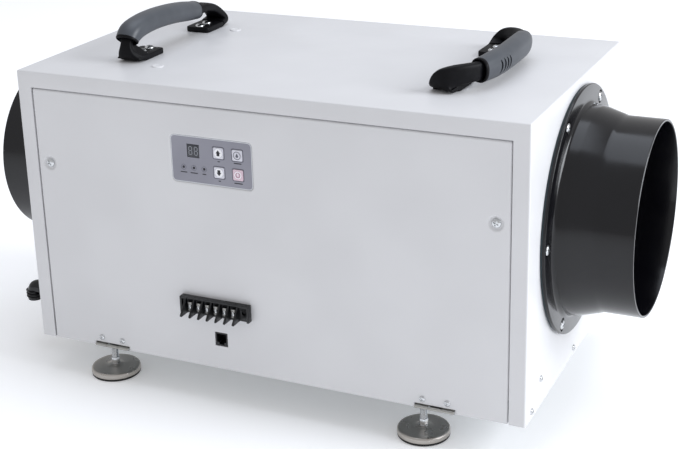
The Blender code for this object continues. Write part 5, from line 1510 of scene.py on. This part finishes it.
def make_coil(node, name):
    """A coil: two tube sheets, a block of thin fins and the copper return bends outside them."""
    low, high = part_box(node)
    plate = 1.5 * MM
    shape = boxes(*(((low.x, y, low.z), (high.x, y + plate, high.z)) for y in (low.y, high.y - plate)))
    piece(f"{name}_end_plates", rounded(shape, 0.3 * MM, 1), GALVANISED, "cabinet", node)
    pitch = 2.4 * MM
    count = int((high.y - low.y - 2 * plate) / pitch)
    row(f"{name}_fins", count, ((low.x + high.x) / 2, low.y + plate + pitch / 2, (low.z + high.z) / 2),
        (0, pitch, 0),
        (high.x - low.x - 4 * MM, 0.5 * MM, high.z - low.z - 4 * MM), FINS, "cabinet", "coil_aluminium")
    rows_of_tubes = (0.3, 0.7)
    radius = 4.7 * MM
    tubes = bmesh.new()
    pitch_z = 25.4 * MM
    for share in rows_of_tubes:
        x = low.x + (high.x - low.x) * share
        for index in range(9):
            z = low.z + 17 * MM + index * pitch_z
            add_rod(tubes, (x, 0, z), 1, radius, low.y + MM, high.y - MM, 12)
            if index % 2 == 0 and index < 8:
                sweep = [(x, low.y + 1 * MM, z), (x, low.y - 2 * MM, z),
                         (x, low.y - 7.4 * MM, z + 0.25 * pitch_z),
                         (x, low.y - 9 * MM, z + 0.5 * pitch_z), (x, low.y - 7.4 * MM, z + 0.75 * pitch_z),
                         (x, low.y - 2 * MM, z + pitch_z), (x, low.y + 1 * MM, z + pitch_z)]
                path = spline(sweep, 3)
                add_loft(tubes, section_loops(path, X, [2 * radius - MM] * len(path),
                                              [2 * radius - MM] * len(path), count=12))
    piece(f"{name}_tubes", tubes, COPPER, "cabinet", sharp=40)


def make_filter():
    """The air filter: a card frame round pleated felt."""
    low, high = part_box("air_filter")
    border = 12 * MM
    shape = carved(boxes((low, high)),
                   boxes(((low.x - MM, low.y + border, low.z + border),
                          (high.x + MM, high.y - border, high.z - border))))
    piece("filter_frame", rounded(shape, 0.5 * MM, 1), TRAY, "cabinet", "air_filter")
    pitch = 7 * MM
    count = int((high.y - low.y - 2 * border) / pitch)
    rows = []
    for index in range(2 * count + 1):
        y = low.y + border + (high.y - low.y - 2 * border) * index / (2 * count)
        x = low.x + (2.2 if index % 2 else 9.0) * MM
        rows.append([Vector((x + dx, y, z)) for dx, z in ((0, low.z + border - MM), (0, high.z - border + MM),
                                                           (0.9 * MM, high.z - border + MM),
                                                           (0.9 * MM, low.z + border - MM))])
    pleats = bmesh.new()
    add_loft(pleats, rows)
    piece("filter_pleats", pleats, FELT, "cabinet", sharp=10)


def make_tray():
    """The moulded drip tray with rounded walls and coil rests."""
    low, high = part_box("drain_tray")
    floor = low.z + 16 * MM
    shape = rounded(boxes(((low.x, low.y, floor), (high.x, high.y, high.z))), 3 * MM, 3)
    shape = carved(shape, rounded(boxes(((low.x + 2 * MM, low.y + 2 * MM, floor + 2 * MM),
                                         (high.x - 2 * MM, high.y - 2 * MM, high.z + 9 * MM))), 2 * MM, 3))
    for y in (-100 * MM, -3 * MM, 94 * MM):
        add_box(shape, (low.x + 1 * MM, y, floor + MM), (high.x - 1 * MM, y + 6 * MM, high.z))
    for x in (low.x + 2 * MM, high.x - 14 * MM):
        for y in (low.y + 40 * MM, high.y - 14 * MM):
            add_box(shape, (x, y, low.z), (x + 12 * MM, y + 12 * MM, floor + MM))
    piece("drip_tray", shape, TRAY, "cabinet", "drain_tray")


def make_fan():
    """Shroud with a rolled inlet, backward-curved impeller, motor with its end bells and its bracket."""
    low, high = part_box("fan_shroud")
    centre = (low.x, 0, DUCT_Z)
    shape = boxes((low, (low.x + 2 * MM, high.y, high.z)))
    holes = bmesh.new()
    add_rod(holes, centre, 0, 91 * MM, -9 * MM, 9 * MM, 96)
    for z in (SUCTION_Z, DISCHARGE_Z):
        add_rod(holes, (low.x, PIPE_Y, z), 0, 7.5 * MM, -9 * MM, 9 * MM, 32)
    shape = carved(shape, holes)
    bell = [(92 * MM, 2 * MM), (92 * MM, 0.2 * MM), (90 * MM, 0.2 * MM)] + arc((91 * MM, 9 * MM), 9 * MM, 255,
                                                                               185, 8)
    bell += [(82 * MM, 14 * MM), (83.5 * MM, 14 * MM)] + arc((91 * MM, 9 * MM), 7.4 * MM, 185, 250, 8)
    add_lathe(shape, bell, centre, 0, 96, ring=True)
    piece("fan_bulkhead", shape, GALVANISED, "cabinet", "fan_shroud", sharp=30)

    low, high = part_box("fan_impeller")
    radius = (high.y - low.y) / 2
    axis = (low.x, 0, DUCT_Z)
    depth = 48 * MM
    inner = 86 * MM
    root = 46 * MM
    shape = bmesh.new()
    add_lathe(shape, [(0, 22 * MM), (15 * MM, 22 * MM), (20 * MM, 25 * MM),
                      (22 * MM, 32 * MM)] + arc((34 * MM, 33 * MM), 12 * MM, 180, 100, 6)
              + [(radius, 45 * MM), (radius, depth), (4 * MM, depth), (4 * MM, high.x - low.x),
                 (0, high.x - low.x)], axis, 0, 72)
    add_lathe(shape, [(inner, 0), (inner + 2.5 * MM, 0), (inner + 5 * MM, 4 * MM), (radius, 9 * MM),
                      (radius, 11.5 * MM), (inner + 4 * MM, 6.8 * MM), (inner, 3 * MM)],
              axis, 0, 72, ring=True)
    for blade in range(7):
        rows = []
        for step in range(13):
            share = step / 12
            reach = root + (radius - 1.5 * MM - root) * share
            angle = 2 * math.pi * blade / 7 - 0.75 * share ** 0.9
            point = Vector((0, math.cos(angle), math.sin(angle))) * reach + Vector(axis)
            bulge = 0.6 + 0.9 * math.sin(math.pi * min(0.98, share + 0.1))
            side = Vector((0, -math.sin(angle), math.cos(angle))) * bulge * MM
            start = (9 - 6 * ramp(reach, 60 * MM, inner)) * MM
            if reach >= inner:
                start = (3 + 6.5 * (reach - inner) / (radius - inner)) * MM
            rows.append([point + side + X * start, point - side + X * start, point - side + X * root,
                         point + side + X * root])
        add_loft(shape, rows)
    piece("fan_wheel", shape, FAN_PLASTIC, "fan", "fan_impeller", sharp=35)

    low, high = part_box("fan_motor")
    radius = (high.y - low.y) / 2
    length = high.x - low.x
    shape = lathe([(0, 30 * MM), (4.1 * MM, 30 * MM), (4.1 * MM, 0), (13 * MM, 0), (14 * MM, 1 * MM),
                   (14 * MM, 4 * MM), (34 * MM, 5.6 * MM)]
                  + arc((radius - 7 * MM, 13 * MM), 7 * MM, -80, 0, 5) + [(radius, length - 13 * MM)]
                  + arc((radius - 7 * MM, length - 7.6 * MM), 7 * MM, 0, 80,
                        5) + [(30 * MM, length - 0.4 * MM), (0, length)], (low.x, 0, DUCT_Z), 0, 64)
    piece("motor_shell", shape, MOTOR_PAINT, "cabinet", "fan_motor", sharp=35)
    seam = lathe([(radius - MM, 27 * MM), (radius - 0.2 * MM, 27 * MM), (radius - 0.2 * MM, 31 * MM),
                  (radius - MM, 31 * MM)], (low.x, 0, DUCT_Z), 0, 64, ring=True)
    piece("motor_band", seam, GALVANISED, "cabinet")
    refinish("motor_bracket", GALVANISED)


COMPRESSOR_X = 130 * MM
COMPRESSOR_Y = 20 * MM
COMPRESSOR_RADIUS = 58 * MM
COMPRESSOR_HEIGHT = 190 * MM
TANK_HEIGHT = 130 * MM


def make_compressor():
    """Compressor shell with its weld seam and terminal cover, rubber feet, accumulator and band."""
    low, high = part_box("compressor")
    x, y, base = COMPRESSOR_X, COMPRESSOR_Y, low.z + 14 * MM
    radius, height = COMPRESSOR_RADIUS, COMPRESSOR_HEIGHT
    shape = lathe([(0, 0)] + arc((radius - 16 * MM, 16 * MM), 16 * MM, -90, 0,
                                 8) + [(radius, height - 30 * MM)]
                  + arc((radius - 28 * MM, height - 30 * MM), 28 * MM, 0, 78, 10) + [(0, height)],
                  (x, y, base), 2, 72)
    add_lathe(shape, [(radius - MM, height - 34 * MM), (radius - 0.1 * MM, height - 33.4 * MM),
                      (radius + 0.5 * MM, height - 32 * MM),
                      (radius - 0.1 * MM, height - 30.6 * MM), (radius - MM, height - 30 * MM)], (x, y, base),
                      2, 72, ring=True)
    reach = radius + 26 * MM
    corners = [(x + reach * math.cos(a), y + reach * math.sin(a))
               for a in (math.pi / 2 + t * 2 * math.pi / 3 + s for t in range(3) for s in (-0.2, 0.2))]
    add_prism(shape, corners, 2, base + 2 * MM, base + 5 * MM)
    piece("compressor_shell", shape, COMPRESSOR_PAINT, "cabinet", "compressor", sharp=35)
    mounts = bmesh.new()
    for turn in range(3):
        angle = math.pi / 2 + turn * 2 * math.pi / 3
        spot = (x + (reach - 14 * MM) * math.cos(angle), y + (reach - 14 * MM) * math.sin(angle), low.z)
        add_lathe(mounts, [(0, 0), (9 * MM, 0), (9 * MM, 3 * MM), (7 * MM, 5.5 * MM), (9 * MM, 8 * MM),
                           (9 * MM, 15.5 * MM), (6.5 * MM, 15.9 * MM), (6.5 * MM, 21 * MM), (0, 21.5 * MM)],
                  spot, 2, 32)
    piece("compressor_grommets", mounts, RUBBER, "cabinet")
    cover = rounded(boxes(((x - 22 * MM, y - 20 * MM, base + height - 5 * MM),
                           (x + 4 * MM, y - 2 * MM, base + height + 9 * MM))), 2.5 * MM, 3)
    piece("terminal_cover", cover, PHENOLIC, "cabinet")
    low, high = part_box("accumulator")
    tank_x, small = low.x + 23 * MM, 23 * MM
    tank_z, tall = high.z - TANK_HEIGHT, TANK_HEIGHT
    shape = lathe([(0, 0)] + arc((small - 12 * MM, 12 * MM), 12 * MM, -80, 0,
                                 6) + arc((small - 12 * MM, tall - 12 * MM), 12 * MM, 0, 80, 6) + [(0, tall)],
                  (tank_x, y, tank_z), 2, 48)
    piece("accumulator_tank", shape, COMPRESSOR_PAINT, "cabinet", "accumulator",
          sharp=35)
    elbow = tube([(tank_x, y, tank_z + 4 * MM), (tank_x, y, tank_z - 10 * MM),
                  (tank_x + 12 * MM, y, tank_z - 20 * MM), (x - radius + MM, y, tank_z - 20 * MM)], 4.5 * MM)
    piece("accumulator_elbow", elbow, COPPER, "cabinet")
    bracket = lathe([(small, 0), (small + 1.2 * MM, 0), (small + 1.2 * MM, 12 * MM), (small, 12 * MM)],
                    (tank_x, y, tank_z + 60 * MM), 2, 48, ring=True)
    add_box(bracket, (tank_x + small, y - 6 * MM, tank_z + 60 * MM),
            (x - radius + MM, y + 6 * MM, tank_z + 72 * MM))
    piece("accumulator_band", bracket, GALVANISED, "cabinet")

    back_y, suction_z, discharge_z = PIPE_Y, SUCTION_Z, DISCHARGE_Z
    evaporator, condenser = middle("evaporator_coil"), middle("condenser_coil")
    coil_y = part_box("evaporator_coil")[1].y
    shroud_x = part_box("fan_shroud")[0].x
    suction = [(evaporator.x, coil_y, suction_z), (evaporator.x, coil_y + 5 * MM, suction_z),
               (evaporator.x + 3 * MM, back_y - 5 * MM, suction_z),
               (evaporator.x + 18 * MM, back_y, suction_z), (shroud_x, back_y, suction_z),
               (tank_x - 60 * MM, back_y, suction_z),
               (tank_x - 8 * MM, back_y - 30 * MM, suction_z), (tank_x, y + 26 * MM, suction_z),
               (tank_x, y + 3 * MM, suction_z - 10 * MM),
               (tank_x, y, suction_z - 30 * MM), (tank_x, y, high.z - MM)]
    piece("suction_line", tube(suction, 4.5 * MM), COPPER, "cabinet", "suction_pipe")
    top_z = base + height
    discharge = [(x, y, top_z - MM), (x, y + MM, top_z + 8 * MM), (x, y + 14 * MM, top_z + 16 * MM),
                 (x - 4 * MM, back_y - 24 * MM, discharge_z + 2 * MM),
                 (x - 30 * MM, back_y, discharge_z), (shroud_x, back_y, discharge_z),
                 (condenser.x + 18 * MM, back_y, discharge_z),
                 (condenser.x + 3 * MM, back_y - 5 * MM, discharge_z),
                 (condenser.x, coil_y + 5 * MM, discharge_z), (condenser.x, coil_y, discharge_z)]
    piece("discharge_line", tube(discharge, 4.5 * MM), COPPER, "cabinet", "discharge_pipe")


def make_pan():
    """The floor pan keeps its CAD shape, in galvanised sheet."""
    refinish("base_pan", GALVANISED)


make_camera()
make_studio()
make_wrap()
make_rear()
make_wall_screws()
make_door()
make_door_screws()
make_hinges()
make_panel()
make_buttons()
make_display()
make_board()
make_terminals()
make_socket()
make_duct("left", LEFT, -1)
make_duct("right", RIGHT, 1)
make_handles()
for foot in FEET:
    make_foot(foot)
make_drain()
make_gland()
make_pan()
make_coil("evaporator_coil", "evaporator")
make_coil("condenser_coil", "condenser")
make_filter()
make_tray()
make_fan()
make_compressor()
